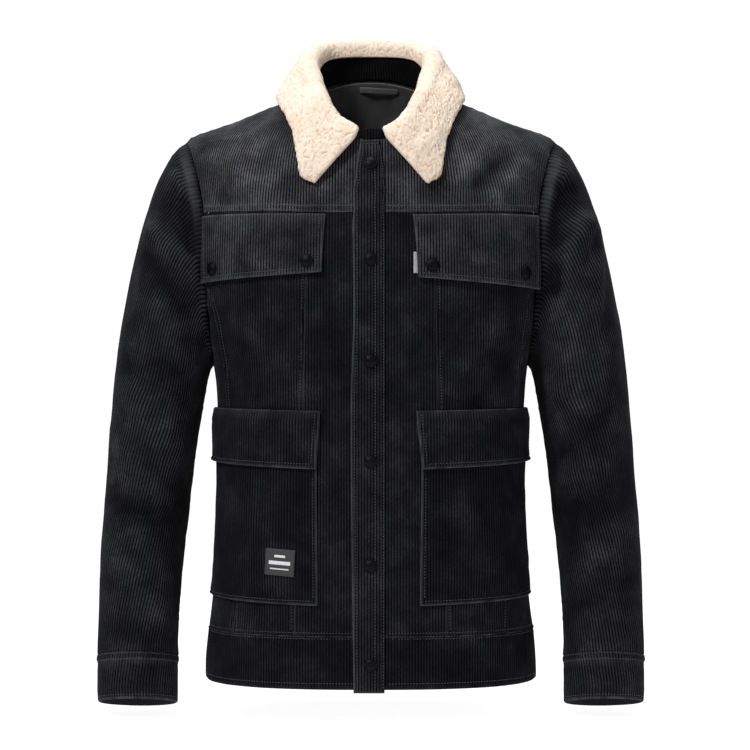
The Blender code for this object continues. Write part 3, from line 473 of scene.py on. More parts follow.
def make_mesh(name, points, faces, materials, marks=None, picks=None):
    """Object from points in millimetres and groups of faces, each an array of equal corners."""
    mesh = bpy.data.meshes.new(name)
    mesh.vertices.add(len(points))
    mesh.vertices.foreach_set("co", (np.ascontiguousarray(points, float) * MM).astype(np.float32).ravel())
    groups = [np.asarray(group, np.int32) for group in faces if len(group)]
    sizes = np.concatenate([np.full(len(group), group.shape[1], np.int32) for group in groups])
    mesh.loops.add(int(sizes.sum()))
    mesh.loops.foreach_set("vertex_index", np.concatenate([group.ravel() for group in groups]))
    mesh.polygons.add(len(sizes))
    mesh.polygons.foreach_set("loop_start", np.concatenate([[0], np.cumsum(sizes)[:-1]]).astype(np.int32))
    if picks is not None:
        mesh.polygons.foreach_set("material_index", np.asarray(picks, np.int32))
    mesh.polygons.foreach_set("use_smooth", np.ones(len(sizes), bool))
    mesh.update(calc_edges=True)
    for mark, values in (marks or {}).items():
        mesh.attributes.new(mark, "FLOAT", "POINT").data.foreach_set("value", np.asarray(values, np.float32))
    for entry in materials:
        mesh.materials.append(entry)
    made = link(name, mesh)
    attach(made, "root")
    return made


def skin_faces(starts, firsts, lasts):
    """Quads and triangles between rows of points whose columns begin and end where they like."""
    quads, triangles = [], []
    for row in range(len(starts) - 1):
        column = np.arange(min(firsts[row], firsts[row + 1]), max(lasts[row], lasts[row + 1]))

        def corner(line, place):
            return starts[line] + np.clip(place, firsts[line], lasts[line]) - firsts[line]

        a, b = corner(row, column), corner(row, column + 1)
        c, d = corner(row + 1, column + 1), corner(row + 1, column)
        quads.append(np.stack([a, b, c, d], 1)[(a != b) & (c != d)])
        triangles.append(np.stack([a, b, c], 1)[(a != b) & (c == d)])
        triangles.append(np.stack([a, c, d], 1)[(a == b) & (c != d)])
    return np.concatenate(quads), np.concatenate(triangles)


def rim_faces(quads, triangles, count):
    """Quads that join the free edges of a skin to those of its twin, count points further on."""
    edges = [quads[:, [i, (i + 1) % 4]] for i in range(4)]
    edges += [triangles[:, [i, (i + 1) % 3]] for i in range(3)]
    edges = np.concatenate(edges).astype(np.int64)
    there, back = edges[:, 0] * count + edges[:, 1], edges[:, 1] * count + edges[:, 0]
    free = edges[~np.isin(there, back)]
    return np.stack([free[:, 1], free[:, 0], free[:, 0] + count, free[:, 1] + count], 1)


def shell(name, node, outer, inner, materials, marks=None, picks=None, turn_out=True):
    """Closed shell between two grids of points, in place of a node. picks gives the materials of the
    outer skin's faces. turn_out turns the faces over where the outer skin looks at the inner one."""
    rows, columns = outer.shape[:2]
    count = rows * columns
    starts = [row * columns for row in range(rows)]
    quads, triangles = skin_faces(starts, [0] * rows, [columns - 1] * rows)
    rim = rim_faces(quads, triangles, count)
    points = np.concatenate([outer.reshape(-1, 3), inner.reshape(-1, 3)])
    if picks is not None:
        picks = np.concatenate([picks, np.zeros(len(quads) + len(rim), int)])
    made = make_mesh(name, points, [quads, quads[:, ::-1] + count, rim], materials, marks, picks)
    a, b, c = (points[quads[:, i]] for i in range(3))
    facing = np.cross(b - a, c - a)
    if turn_out and float(np.sum(facing * (a - points[quads[:, 0] + count]))) < 0:
        made.data.flip_normals()
    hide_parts(node)
    return made


class Line:
    """One row of a cut piece: its two ends in lengths along the cloth, its distance from the piece's
    nearer end, what gives points and normals at lengths, its level, the shift of its wales and the
    step between their columns, and how much of the creases it takes."""

    def __init__(self, left, right, from_end, spot, level, shift=0.0, step=STEP):
        self.left, self.right, self.from_end = float(left), float(right), from_end
        self.spot, self.level, self.shift, self.step = spot, level, shift, step
        self.calm, self.run = 1.0, 0.0

    def columns(self):
        """Numbers of the wales' columns on this row, and the lengths at which they lie."""
        dense = np.linspace(self.left, self.right, 400)
        across = dense - self.shift
        first = math.floor(across[0] / self.step + 0.3)
        last = max(math.ceil(across[-1] / self.step - 0.3), first + 1)
        column = np.arange(first, last + 1)
        s = np.interp(column * self.step, across, dense)
        s[0], s[-1] = self.left, self.right
        return column, s


def measure_runs(lines):
    """Gives each row its distance from the first one, measured along the cloth."""
    share = np.linspace(0.1, 0.9, 9)
    for before, after in zip(lines, lines[1:]):
        low, high = (line.spot(line.left + (line.right - line.left) * share)[0] for line in (before, after))
        after.run = before.run + float(np.median(np.linalg.norm(high - low, axis=1)))


def lay(name, lines, relief, rests_on=(), painted_sheen="chest", shade=1.0, lift=0.0, thick=CLOTH, mirrored=False,
        creases=CREASES):
    """Builds one cut piece over its rows, as a closed shell with raised wales.
    relief gives the heights of a row's points, and how much painted highlight they get along edges and seams."""
    outer, inner, wales, edges, folds, starts, firsts, lasts = [], [], [], [], [], [0], [], []
    for line in lines:
        column, s = line.columns()
        points, normals = line.spot(s)
        crest = (column % PER_WALE != 0).astype(float)
        crest[[0, -1]] = END_CREST
        near = np.minimum(line.from_end, np.minimum(s - line.left, line.right - s))
        rolled = np.clip(1 - near / EDGE_ROLL, 0, 1) ** 2
        more, painted_highlight = relief(line, s, points)
        height = WALE * (crest - 1) - EDGE_DROP * rolled + more
        fold = crease_height(points, normals, creases) * line.calm
        base = uneven(points, lift) + fold
        outer.append(points + normals * (height + base)[:, None])
        inner.append(points + normals * (base - thick)[:, None])
        wales.append(crest)
        # Painted highlight along the row's edges and seams.
        edges.append(np.broadcast_to(painted_highlight, s.shape))
        # How strongly the painted highlight or shade of the creases shows at each point.
        folds.append(np.tanh(fold / FOLD_LIGHT_REACH))
        firsts.append(int(column[0]))
        lasts.append(int(column[-1]))
        starts.append(starts[-1] + len(s))
    count = starts.pop()
    quads, triangles = skin_faces(starts, firsts, lasts)
    points = np.concatenate(outer + inner)
    faces = [quads, triangles, quads[:, ::-1] + count, triangles[:, ::-1] + count,
             rim_faces(quads, triangles, count)]
    if mirrored:
        points[:, 0] *= -1
        faces = [group[:, ::-1] for group in faces]
    picks = np.concatenate([np.full(len(group), int(i in (2, 3))) for i, group in enumerate(faces)])
    # The part's painted sheen, lifted on crease ridges as painted highlight and lowered in their troughs as
    # painted shade.
    painted_sheen = PART_SHEEN[painted_sheen] * shade
    sheen_lit = painted_sheen + (FOLD_LIGHT[0] + FOLD_LIGHT[1] * painted_sheen) * np.concatenate(folds)
    marks = {
        "wale": np.concatenate([*wales, np.full(count, 0.5)]),
        "painted_highlight": np.concatenate([*edges, np.zeros(count)]),
        "painted_sheen": np.concatenate([sheen_lit, np.full(count, painted_sheen)]),
    }
    made = make_mesh(f"{name}_cloth", points, faces, [CORDUROY, BACKING], marks, picks)
    measure_runs(lines)
    widths = np.array([line.right - line.left for line in lines])
    runs = np.array([line.run for line in lines])
    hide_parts(name)
    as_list(rests_on)


# Materials: all of their colour and grain comes from nodes

def nodes_of(name):
    made = bpy.data.materials.new(name)
    made.use_nodes = True
    tree = made.node_tree
    return made, tree, tree.nodes["Principled BSDF"]


def feed(tree, socket, value):
    """Gives a socket a number, a colour or what another socket puts out."""
    if isinstance(value, bpy.types.NodeSocket):
        tree.links.new(value, socket)
    else:
        socket.default_value = (*value, 1.0) if isinstance(value, tuple) else value


def set_up(tree, node, **values):
    """Feeds inputs of a node, whose names have _ for their spaces."""
    for key, value in values.items():
        feed(tree, node.inputs[key.replace("_", " ")], value)


def add(tree, kind, **properties):
    node = tree.nodes.new(kind)
    for key, value in properties.items():
        setattr(node, key, value)
    return node


def ramp(tree, source, stops):
    """Colours or greys along a source's values."""
    node = add(tree, "ShaderNodeValToRGB")
    feed(tree, node.inputs["Fac"], source)
    elements = node.color_ramp.elements
    while len(elements) < len(stops):
        elements.new(0.5)
    for element, (place, colour) in zip(elements, stops):
        element.position = place
        element.color = (*(colour if isinstance(colour, tuple) else (colour,) * 3), 1.0)
    return node.outputs["Color"]


def noise(tree, scale, detail=3.0, roughness=0.55, stretch=(1, 1, 1)):
    """Noise over the object's own coordinates, scale being its waves to the metre."""
    mapping = add(tree, "ShaderNodeMapping")
    mapping.inputs["Scale"].default_value = stretch
    feed(tree, mapping.inputs["Vector"], add(tree, "ShaderNodeTexCoord").outputs["Object"])
    node = add(tree, "ShaderNodeTexNoise")
    set_up(tree, node, Scale=scale, Detail=detail, Roughness=roughness, Vector=mapping.outputs["Vector"])
    return node.outputs["Fac"]


def mark(tree, name):
    return add(tree, "ShaderNodeAttribute", attribute_name=name).outputs["Fac"]


def mix(tree, share, first, second, blend="MIX"):
    node = add(tree, "ShaderNodeMix", data_type="RGBA", blend_type=blend, clamp_factor=True)
    for number, value in ((0, share), (6, first), (7, second)):
        feed(tree, node.inputs[number], value)
    return node.outputs[2]


def bump(tree, shader, height, strength, distance):
    node = add(tree, "ShaderNodeBump")
    set_up(tree, node, Strength=strength, Distance=distance, Height=height)
    feed(tree, shader.inputs["Normal"], node.outputs["Normal"])


def corduroy():
    """Black corduroy: painted shade in the grooves, painted sheen on the crests, painted highlights along
    edges, and a soft uneven bloom.
    """
    made, tree, shader = nodes_of("corduroy")
    bloom = noise(tree, 34.0, 4.0, 0.62)
    # Crest colours under a soft uneven bloom: dark ones, and light ones that carry the painted sheen.
    crest, sheen_lit = (ramp(tree, bloom, list(zip((0.30, 0.52, 0.72), colours))) for colours in (
        ((0.0036, 0.0039, 0.0047), (0.0080, 0.0084, 0.0096), (0.0160, 0.0167, 0.0186)),
        ((0.033, 0.0343, 0.0380), (0.068, 0.070, 0.076), (0.122, 0.125, 0.134))))
    # Painted sheen: a part's crests move from the dark colours towards the light ones.
    crest = mix(tree, mark(tree, "painted_sheen"), crest, sheen_lit)
    fluff = noise(tree, 950.0, 2.0, 0.6, (1, 1, 0.35))
    crest = mix(tree, 0.8, crest, ramp(tree, fluff, [(0.25, 0.5), (0.75, 1.6)]), "MULTIPLY")
    # Painted shade: the grooves between the wales are given a near-black colour.
    raised = ramp(tree, mark(tree, "wale"), [(0.30, 0.0), (0.95, 1.0)])
    colour = mix(tree, raised, (0.0010, 0.0010, 0.0013), crest)
    # Painted highlight: a light grey mixed in along edges, seams and sleeve heads, standing in for light
    # caught by the pile.
    colour = mix(tree, mark(tree, "painted_highlight"), colour, (0.125, 0.128, 0.138))
    set_up(tree, shader, Base_Color=colour, Roughness=0.9, Specular_IOR_Level=0.05, Sheen_Weight=0.02,
           Sheen_Roughness=0.42, Sheen_Tint=(0.72, 0.74, 0.80))
    bump(tree, shader, fluff, 0.55, 0.00025)
    return made


def backing():
    """The woven back of the corduroy, which shows inside the hem and cuffs."""
    made, tree, shader = nodes_of("corduroy_back")
    weave = noise(tree, 1400.0, 1.0, 0.5)
    colour = ramp(tree, weave, [(0.3, (0.006, 0.0062, 0.007)), (0.7, (0.014, 0.0145, 0.016))])
    set_up(tree, shader, Base_Color=colour, Roughness=0.85)
    bump(tree, shader, weave, 0.4, 0.0002)
    return made


def satin():
    """Dark lining: a fine slanting twill with a dull shine along its folds."""
    made, tree, shader = nodes_of("lining")
    thread = noise(tree, 2200.0, 1.0, 0.5, (1, 1, 0.25))
    cloud = noise(tree, 26.0, 3.0, 0.6)
    colour = ramp(tree, cloud, [(0.3, (0.030, 0.030, 0.031)), (0.75, (0.078, 0.078, 0.079))])
    colour = mix(tree, 0.5, colour, ramp(tree, thread, [(0.3, 0.7), (0.7, 1.25)]), "MULTIPLY")
    set_up(tree, shader, Base_Color=colour, Roughness=ramp(tree, cloud, [(0.3, 0.34), (0.7, 0.48)]),
           Sheen_Weight=0.1)
    bump(tree, shader, thread, 0.3, 0.00012)
    return made


def fleece():
    """Cream fleece: tight curls, with painted shade, warmer and darker, between them."""
    made, tree, shader = nodes_of("fleece")
    painted_shade_colour = ramp(tree, noise(tree, 55.0, 3.0, 0.6), [(0.35, (0.50, 0.31, 0.185)), (0.65, (0.63, 0.465, 0.33))])
    tips = ramp(tree, noise(tree, 40.0), [(0.3, (0.735, 0.60, 0.475)), (0.6, (0.80, 0.675, 0.56))])
    # Painted shade: low places between the curls take the darker, warmer colour.
    colour = mix(tree, ramp(tree, mark(tree, "wale"), [(0.12, 0.0), (0.62, 1.0)]), painted_shade_colour, tips)
    set_up(tree, shader, Base_Color=colour, Roughness=0.95, Specular_IOR_Level=0.05, Sheen_Weight=0.12,
           Sheen_Roughness=0.6, Subsurface_Weight=0.05, Subsurface_Scale=0.003)
    bump(tree, shader, noise(tree, 1500.0, 3.0, 0.65), 0.6, 0.0005)
    return made


def plain(name, dark, light, scale, roughness, metallic=0.0, depth=0.0002, stretch=(1, 1, 1)):
    """Finish between two colours, with a grain of its own."""
    made, tree, shader = nodes_of(name)
    grain = noise(tree, scale, 3.0, 0.6, stretch)
    set_up(tree, shader, Base_Color=ramp(tree, grain, [(0.3, dark), (0.7, light)]), Metallic=metallic,
           Roughness=ramp(tree, grain, [(0.3, roughness - 0.06), (0.7, roughness + 0.06)]))
    bump(tree, shader, grain, 0.4, depth)
    return made


CORDUROY, BACKING, SATIN, FLEECE = corduroy(), backing(), satin(), fleece()
THREAD = plain("thread", (0.038, 0.039, 0.042), (0.095, 0.097, 0.103), 2400.0, 0.7)
METAL = plain("snap_metal", (0.0035, 0.0035, 0.0042), (0.008, 0.008, 0.009), 600.0, 0.5, 0.9, 0.00006)
PATCH = plain("patch", (0.012, 0.0122, 0.013), (0.034, 0.0345, 0.037), 900.0, 0.7)
PATCH_MARK = plain("patch_mark", (0.46, 0.462, 0.47), (0.70, 0.705, 0.72), 1200.0, 0.7)
TAPE = plain("tape", (0.28, 0.28, 0.28), (0.42, 0.42, 0.42), 2600.0, 0.8)
LOOP = plain("loop_satin", (0.075, 0.075, 0.077), (0.13, 0.131, 0.135), 1400.0, 0.42, 0.0, 0.0001,
             (0.3, 1, 1))


# Seams and sewn lines. Each relief returns heights in millimetres, and how much painted highlight
# the cloth gets there along its edges and seams, from 0 to 1, for the points of one row.

STITCH_DIP, STITCH_HALF = 0.5, 1.3
# Rise of a folded band, and the strength of the painted highlight along its edge.
FOLD_RISE, FOLD_HIGHLIGHT = 0.5, 0.55


def sewn(distance):
    """The dip that a row of stitches pulls into the cloth."""
    return -STITCH_DIP * np.exp(-(distance / STITCH_HALF) ** 2)


def folded(distance, width):
    """The raised band between a folded edge and the stitches that hold it."""
    return FOLD_RISE * (smooth((distance + 0.4) / 0.8) * smooth((width - distance) / 1.2))


def dropped(distance, width):
    """How far the very edge of a piece turns down, as a share."""
    return (1 - smooth(distance / width)) ** 2


# Painted highlight along a folded edge or a seam, fading with the distance from it.
def light_edge(distance, reach=1.3):
    return FOLD_HIGHLIGHT * np.exp(-(np.maximum(distance, 0) / reach) ** 2)


def pucker(points, distance, reach=9.0, height=0.5, size=11.0, seed=11):
    """Small uneven gathers beside a seam."""
    return height * waves(points, size, seed) * np.exp(-(distance / reach) ** 2)


def rows_between(fixed, spacing):
    """Places from the first of some fixed ones to the last, no further apart than a spacing."""
    fixed = sorted(fixed)
    rows = []
    for a, b in zip(fixed, fixed[1:]):
        cells = max(1, math.ceil((b - a) / spacing))
        rows += [a + (b - a) * step / cells for step in range(cells)]
    return rows + [fixed[-1]]


def levels_between(first, last, spacing=ROW, marks=(), own_gap=GAP / 2):
    """Heights of a piece's rows, close together at its ends and round its sewn lines."""
    low, high = first + own_gap, last - own_gap
    fixed = {low, low + 0.7, low + EDGE_ROLL, high, high - 0.7, high - EDGE_ROLL}
    fixed |= {level + off for level in marks for off in (-1.6, -0.5, 0.6, 1.7)}
    return rows_between([level for level in fixed if low <= level <= high], spacing)


def body_lines(levels, edges, on_back=False, inset=GAP / 2, ends=None):
    """Rows of a panel of the body. edges gives the two lengths at which a level's row ends."""
    bottom, top = ends or (levels[0], levels[-1])
    lines = []
    for level in levels:
        left, right = edges(level)

        def spot(s, level=level):
            return body_spot(s, level, on_back)

        lines.append(Line(left + inset, right - inset, min(level - bottom, top - level), spot, level))
    return lines


def seam_length(column, level, side):
    return length_at(front_line(column, level, side), level)


def end_length(level, side):
    return float(side * length_at(armhole_end(level), level))


def back_reach(level):
    return abs(float(length_at(armhole_end(level, True), level, True)))


def front_edge_length(level):
    return float(length_at(angle_at_x(FRONT_EDGE, level), level))


def ordered(side, inner, outer):
    """Two lengths from the centre outwards, put in order from -X to +X."""
    return (inner, outer) if side > 0 else (outer, inner)


SIDE_NAMES = {-1: "right", 1: "left"}
# Painted sheen of each part: how far its wales' crests are lightened, standing in for the light its nap
# catches.
PART_SHEEN = {
    "yoke": 0.66, "flap": 0.42, "chest": 0.065, "pocket": 0.0, "band": 0.0, "sleeve": 0.13, "strip": 0.13,
}
YOKE_STITCHES = (2.2, 7.0)          # above the yoke seam
SIDE_STITCH, FRONT_STITCH = 6.5, 2.6
PANEL_STITCH = 5.0
BAND_STITCHES = (HEM + 7.0, BAND_TOP - 3.0)
OVER_BAND_STITCH = BAND_TOP + 3.2
ARMHOLE_ROW_PLACES = [0.12, 0.25, 9.25, 9.75, 9.9, *np.arange(0.0, 10.01, 0.5)]
ARMHOLE_ROWS = {float(level) for level in ARMHOLE_TABLE.at(np.array(ARMHOLE_ROW_PLACES))[:, 0]}
CHEST_LEVELS = levels_between(BAND_TOP, YOKE_SEAM, marks=(-146.0, -149.5))
CHEST_LEVELS = sorted({*CHEST_LEVELS, *(at for at in ARMHOLE_ROWS if UNDERARM <= at < YOKE_SEAM - 2)})
SIDE_LEVELS = [level for level in CHEST_LEVELS if level < SIDE_SEAM_LEVEL - 1] + [SIDE_SEAM_LEVEL]
YOKE_LEVELS = levels_between(YOKE_SEAM, NECK_EDGE, 5.0, [YOKE_SEAM + above for above in YOKE_STITCHES])
YOKE_LEVELS = sorted({*YOKE_LEVELS, *(at for at in ARMHOLE_ROWS if at > YOKE_SEAM + 2)})
BAND_LEVELS = levels_between(HEM, BAND_TOP, marks=BAND_STITCHES)

# Millimetres of cloth to a millimetre of level just above the yoke seam, on the front and the back.
STRETCH_LENGTHS, STRETCH_RISE = np.linspace(0.0, 330.0, 331), 5.0
STRETCH = {}
for back in (False, True):
    high, low = (body_spot(STRETCH_LENGTHS, YOKE_SEAM + rise, back)[0] for rise in (STRETCH_RISE, 0.0))
    STRETCH[back] = np.clip(np.linalg.norm(high - low, axis=1) / STRETCH_RISE, 1.0, 4.0)


def yoke_stretch(s, on_back=False):
    return np.interp(np.abs(s), STRETCH_LENGTHS, STRETCH[on_back])


def yoke_height(line, s, points, from_hole, on_back=False):
    """Distance above the yoke seam, and the height of a yoke's seam and puckers."""
    above = (line.level - YOKE_SEAM) * yoke_stretch(s, on_back)
    height = sum(sewn(above - at) for at in YOKE_STITCHES) + folded(above, YOKE_STITCHES[1])
    return above, height + pucker(points, above) + pucker(points, from_hole, 10.0, 0.6)


def build_half(side, name):
    """The front panels, yoke and hem band of one side."""
    def seam(column, level):
        return float(seam_length(column, level, side))

    def centre_edges(level):
        return ordered(side, front_edge_length(level), seam(FRONT_SEAM, level))

    def middle_edges(level):
        reach = end_length(level, side)
        if level < SIDE_SEAM_LEVEL:
            reach = min(reach, seam(SIDE_SEAM, level), key=abs)
        return ordered(side, seam(FRONT_SEAM, level), reach)

    def side_edges(level):
        inner, reach = seam(SIDE_SEAM, level), end_length(level, side)
        return ordered(side, inner, reach if abs(reach) > abs(inner) + 2.5 else inner + side * 2.5)

    def yoke_edges(level):
        return ordered(side, front_edge_length(level), end_length(level, side))

    def band_edges(level):
        return ordered(side, front_edge_length(level), side * float(length_at(QUARTER, level)))

    def centre_relief(line, s, points):
        off = np.abs(s - seam(FRONT_SEAM, line.level))
        height = sewn(off - FRONT_STITCH) + folded(off, FRONT_STITCH) * 0.7 + pucker(points, off)
        return height + pucker(points, YOKE_SEAM - line.level, 8.0), 0.35 * light_edge(off)

    def middle_relief(line, s, points):
        inner, outer = middle_edges(line.level)[::side]
        off_inner, off = np.abs(s - inner), np.abs(s - outer)
        height = pucker(points, off_inner) + pucker(points, off, 10.0, 0.7)
        if line.level < SIDE_SEAM_LEVEL:
            return height + sewn(off - SIDE_STITCH) + folded(off, SIDE_STITCH), 0.4 * light_edge(off)
        return height + folded(off, 5.0) * 0.4, 0.3 * light_edge(off)

    def side_relief(line, s, points):
        off, off_side = np.abs(s - seam(SIDE_SEAM, line.level)), np.abs(s - end_length(line.level, side))
        return pucker(points, off, 10.0, 0.7) + pucker(points, off_side), 0.0

    def yoke_relief(line, s, points):
        above, height = yoke_height(line, s, points, np.abs(s - end_length(line.level, side)))
        painted_highlight = 0.85 * light_edge(above) + 0.45 * light_edge(np.abs(above - YOKE_STITCHES[1] - 0.9), 0.9)
        return height, painted_highlight * (0.7 + 0.3 * waves(points, 17.0, 21))

    yoke, panels = [f"front_yoke_{name}"], [f"front_{part}_{name}" for part in ("centre", "middle", "side")]
    lay(panels[0], body_lines(CHEST_LEVELS, centre_edges), centre_relief, yoke)
    lay(panels[1], body_lines(CHEST_LEVELS, middle_edges), middle_relief, yoke)
    lay(panels[2], body_lines(SIDE_LEVELS, side_edges), side_relief, [panels[1]])
    lay(yoke[0], body_lines(YOKE_LEVELS, yoke_edges), yoke_relief, [], "yoke")
    lay(f"hem_band_{name}", body_lines(BAND_LEVELS, band_edges), band_relief, panels, "band")


def build_back():
    def edges(level):
        reach = back_reach(level)
        return -reach, reach

    def panel_relief(line, s, points):
        seam = back_seam(line.level)
        off, from_side = np.abs(np.abs(s) - seam), back_reach(line.level) - np.abs(s)
        height = pucker(points, YOKE_SEAM - line.level, 9.0, 0.6) + pucker(points, from_side, 10.0, 0.6)
        height += pucker(points, off) + 1.4 * sewn(off) + sewn(np.abs(s) - seam - PANEL_STITCH)
        return height, 0.25 * light_edge(off)

    def yoke_relief(line, s, points):
        above, height = yoke_height(line, s, points, back_reach(line.level) - np.abs(s), True)
        return height, 0.6 * light_edge(above) * (0.6 + 0.4 * waves(points, 17.0, 21))

    lay("back_panel", body_lines(CHEST_LEVELS, edges, True), panel_relief, ["back_yoke"])
    lay("back_yoke", body_lines(YOKE_LEVELS, edges, True), yoke_relief, [], "yoke")
    lay("hem_band_back", body_lines(BAND_LEVELS, edges, True), band_relief, ["back_panel"], "band")


def back_seam(level):
    """Distance from the centre back of the two seams that divide the back panel."""
    return np.interp(level, [HEM, -410.0, YOKE_SEAM], [74.0, 78.0, 98.0])


def band_relief(line, s, points):
    """The hem band: folded at the hem, and sewn down along both its edges."""
    above, below = line.level - HEM, BAND_TOP - line.level
    height = sum(sewn(line.level - at) for at in BAND_STITCHES) + folded(below, 3.4)
    height -= 1.1 * dropped(above, 4.0)
    painted_highlight = 0.7 * light_edge(below, 1.0) + 0.35 * light_edge(above, 1.6)
    return height + pucker(points, below, 12.0, 0.7, 9.0), painted_highlight * (0.6 + 0.4 * waves(points, 22.0, 23))


# Sleeves and cuffs, made on the wearer's left; the right ones are mirrored

GRAIN_POINT = {"top": 20.0, "under": 12.5, "cuff": 20.0}
# A place along the sleeve, how far the wales have wound round it there, and how much wider they lie.
GRAIN_TABLE = Table([(0.0, 0.0, 1.6), (3.0, -8.0, 1.5), (7.0, -17.0, 1.22), (11.0, -38.0, 1.07),
                     (16.8, -86.0, 1.05), (18.4, -94.0, 1.05)])
TOP_STITCH = 8.0
CUFF_STITCHES, CUFF_EDGE_STITCH = (1.6, 7.6), 4.5
CUFF_START = CUFF_SEAM_PLACE + 0.006


class Tube:
    """Points of one row of the sleeve by their length along the cloth from its grain line."""

    def __init__(self, place, first, last, grain):
        self.place = place
        self.points = np.linspace(first, last, int((last - first) * 24) + 1)
        lengths = runs_along(sleeve_point(self.points, place))
        self.lengths = lengths - np.interp(grain, self.points, lengths)

    def spot(self, s):
        point = np.interp(s, self.lengths, self.points)
        return sleeve_point(point, self.place), sleeve_normal(point, self.place)


def tube_lines(places, first, last, part, gap=GAP / 2):
    lines = []
    for place in places:
        tube = Tube(place, first, last, GRAIN_POINT[part])
        shift, wider = (float(value) for value in GRAIN_TABLE.at(place))
        left, right = tube.lengths[0] + gap, tube.lengths[-1] - gap
        lines.append(Line(left, right, 0.0, tube.spot, place, shift, wider * STEP))
    measure_runs(lines)
    for line in lines:
        line.below = lines[-1].run - line.run
        line.from_end = min(line.run, line.below)
        line.calm = float(min(1.0, line.level) * min(1.0, max(0.0, CUFF_END - line.level) / 1.2))
    return lines


def sleeve_creases(side):
    """The creases of one sleeve as they lie on the wearer's left."""
    return [[(abs(row[0]), row[1], abs(row[2]), *row[3:]) for row in table if row[0] * side > 0]
            for table in SLEEVE_CREASES]


def places_between(first, last, marks=()):
    """Places along the sleeve, close together at the ends of a piece and round its sewn lines."""
    near, next_to = 0.018, 0.04
    fixed = {first, first + near, first + next_to, last - next_to, last - near, last}
    fixed |= {place + off for place in marks for off in (-0.05, -0.015, 0.02, 0.05)}
    return rows_between([place for place in fixed if first <= place <= last], 0.3)


def top_relief(line, s, points):
    from_back = s - line.left
    height = sewn(from_back - TOP_STITCH) + folded(from_back, TOP_STITCH)
    height += pucker(points, line.run, 16.0, 1.3, 15.0, 31)
    height += pucker(points, from_back, 9.0, 0.6) + pucker(points, line.right - s, 9.0, 0.6)
    # The sleeve head is raised a little on its front and back, and gets a painted highlight there where the
    # light falls.
    head = math.exp(-((line.run - 8.0) / 4.0) ** 2) * np.exp(-((np.abs(s) - 70.0) / 45.0) ** 2)
    return height + 1.6 * head, 0.45 * light_edge(from_back) + 0.3 * head


def under_relief(line, s, points):
    height = pucker(points, s - line.left, 9.0, 0.6) + pucker(points, line.right - s, 9.0, 0.6)
    return height + pucker(points, line.run, 16.0, 1.0, 15.0, 31), 0.0


def cuff_relief(line, s, points):
    height = sum(sewn(line.run - at) for at in CUFF_STITCHES) + folded(line.run, CUFF_STITCHES[1])
    height += sewn(line.below - CUFF_EDGE_STITCH) - dropped(line.below, 3.0)
    painted_highlight = 0.55 * light_edge(line.run, 1.0) + 0.4 * light_edge(abs(line.run - CUFF_STITCHES[1]), 0.9)
    painted_highlight += 0.7 * light_edge(line.below, 2.2)
    return height + pucker(points, line.run, size=9.0), painted_highlight * (0.6 + 0.4 * waves(points, 19.0, 27))


def build_sleeves():
    seam_gap, tube_end = 0.005, CUFF_SEAM_PLACE - 0.006
    first, last = UNDER_SLEEVE
    places = places_between(seam_gap, tube_end, (CUFF_SEAM_PLACE - 0.12,))
    cuff_places = places_between(CUFF_START, CUFF_END, (17.06, 17.26, CUFF_END - 0.17))
    for side, name in SIDE_NAMES.items():
        looks = dict(mirrored=side < 0, creases=sleeve_creases(side), painted_sheen="sleeve")
        rests = [f"front_middle_{name}", f"front_yoke_{name}", "back_panel", "back_yoke"]
        on_top = [f"top_sleeve_{name}"]
        lay(on_top[0], tube_lines(places, last, first + RING, "top"), top_relief, rests, **looks)
        lay(f"under_sleeve_{name}", tube_lines(places, first, last, "under"), under_relief, on_top, **looks)
        cuff = tube_lines(cuff_places, last, last + RING, "cuff", 0.0)
        lay(f"cuff_{name}", cuff, cuff_relief, on_top, **looks)


# Pieces that lie on the front: strip, flaps, pockets, patch, side tab and snaps

FLAP, STRIP, EDGE_STAND_OFF, STRIP_DROP = 3.0, 2.6, 0.5, 3.0
CHEST_FLAPS = {
    # inner_z, outer_z, stand_off
    -1: [(-137.5, -137.0, 0.5), (-158.0, -161.0, 1.2), (-179.0, -185.5, 2.4), (-200.0, -209.5, 3.4)],
    1: [(-138.0, -136.6, 0.5), (-160.0, -161.5, 1.2), (-183.0, -189.5, 2.4), (-205.5, -216.5, 3.4)],
}
LOWER_FLAP = [
    # inner_z, outer_z, stand_off
    (-349.5, -346.5, 0.5), (-358.0, -356.0, 4.2), (-383.0, -380.0, 4.6), (-412.5, -406.0, 5.4),
]
LOWER_POCKET = [
    # inner_z, outer_z, stand_off of its middle
    (-361.5, -361.5, 0.5), (-410.0, -410.0, 1.0), (-450.0, -450.0, 2.2), (-490.0, -490.0, 2.8),
    (-525.0, -524.0, 2.2), (-559.5, -555.0, 0.5),
]
CHEST_MARGIN = 1.5
FLAP_STITCH, POCKET_STITCH = 5.2, 4.5
POCKET_REACH = 2 / 3         # of the side panel, that the lower pockets cover
PUFF_SHARE = 0.16            # of a pocket's width, over which it rises from its sewn sides
SNAP_PROFILE = [
    # radius, height: the cap's rim, the step inside it, and the dome
    (7.2, 0.0), (7.3, 0.5), (7.25, 1.0), (6.95, 1.45), (6.5, 1.62), (6.1, 1.5), (5.8, 1.52), (5.3, 1.95),
    (4.4, 2.5), (3.2, 2.95), (1.8, 3.2), (0.6, 3.28),
]
SNAP_SIDES, SNAP_SEAT = 40, 0.5
STRIP_SNAP_LEVELS = [-82.4, -186.0, -295.3, -404.3, -516.3, -622.2]
FLAP_SNAPS = {
    # place, distance from the centre, z
    -1: [("inner", 69.0, -187.6), ("outer", 173.5, -194.5)],
    1: [("inner", 66.5, -192.0), ("outer", 169.5, -199.5)],
}
# Distances of the strip's sewn lines from its free edge, from its sewn edge, and from its ends.
STRIP_FREE_STITCH, STRIP_SEWN_STITCHES, STRIP_END_STITCH = 4.2, (1.6, 10.5), 5.0


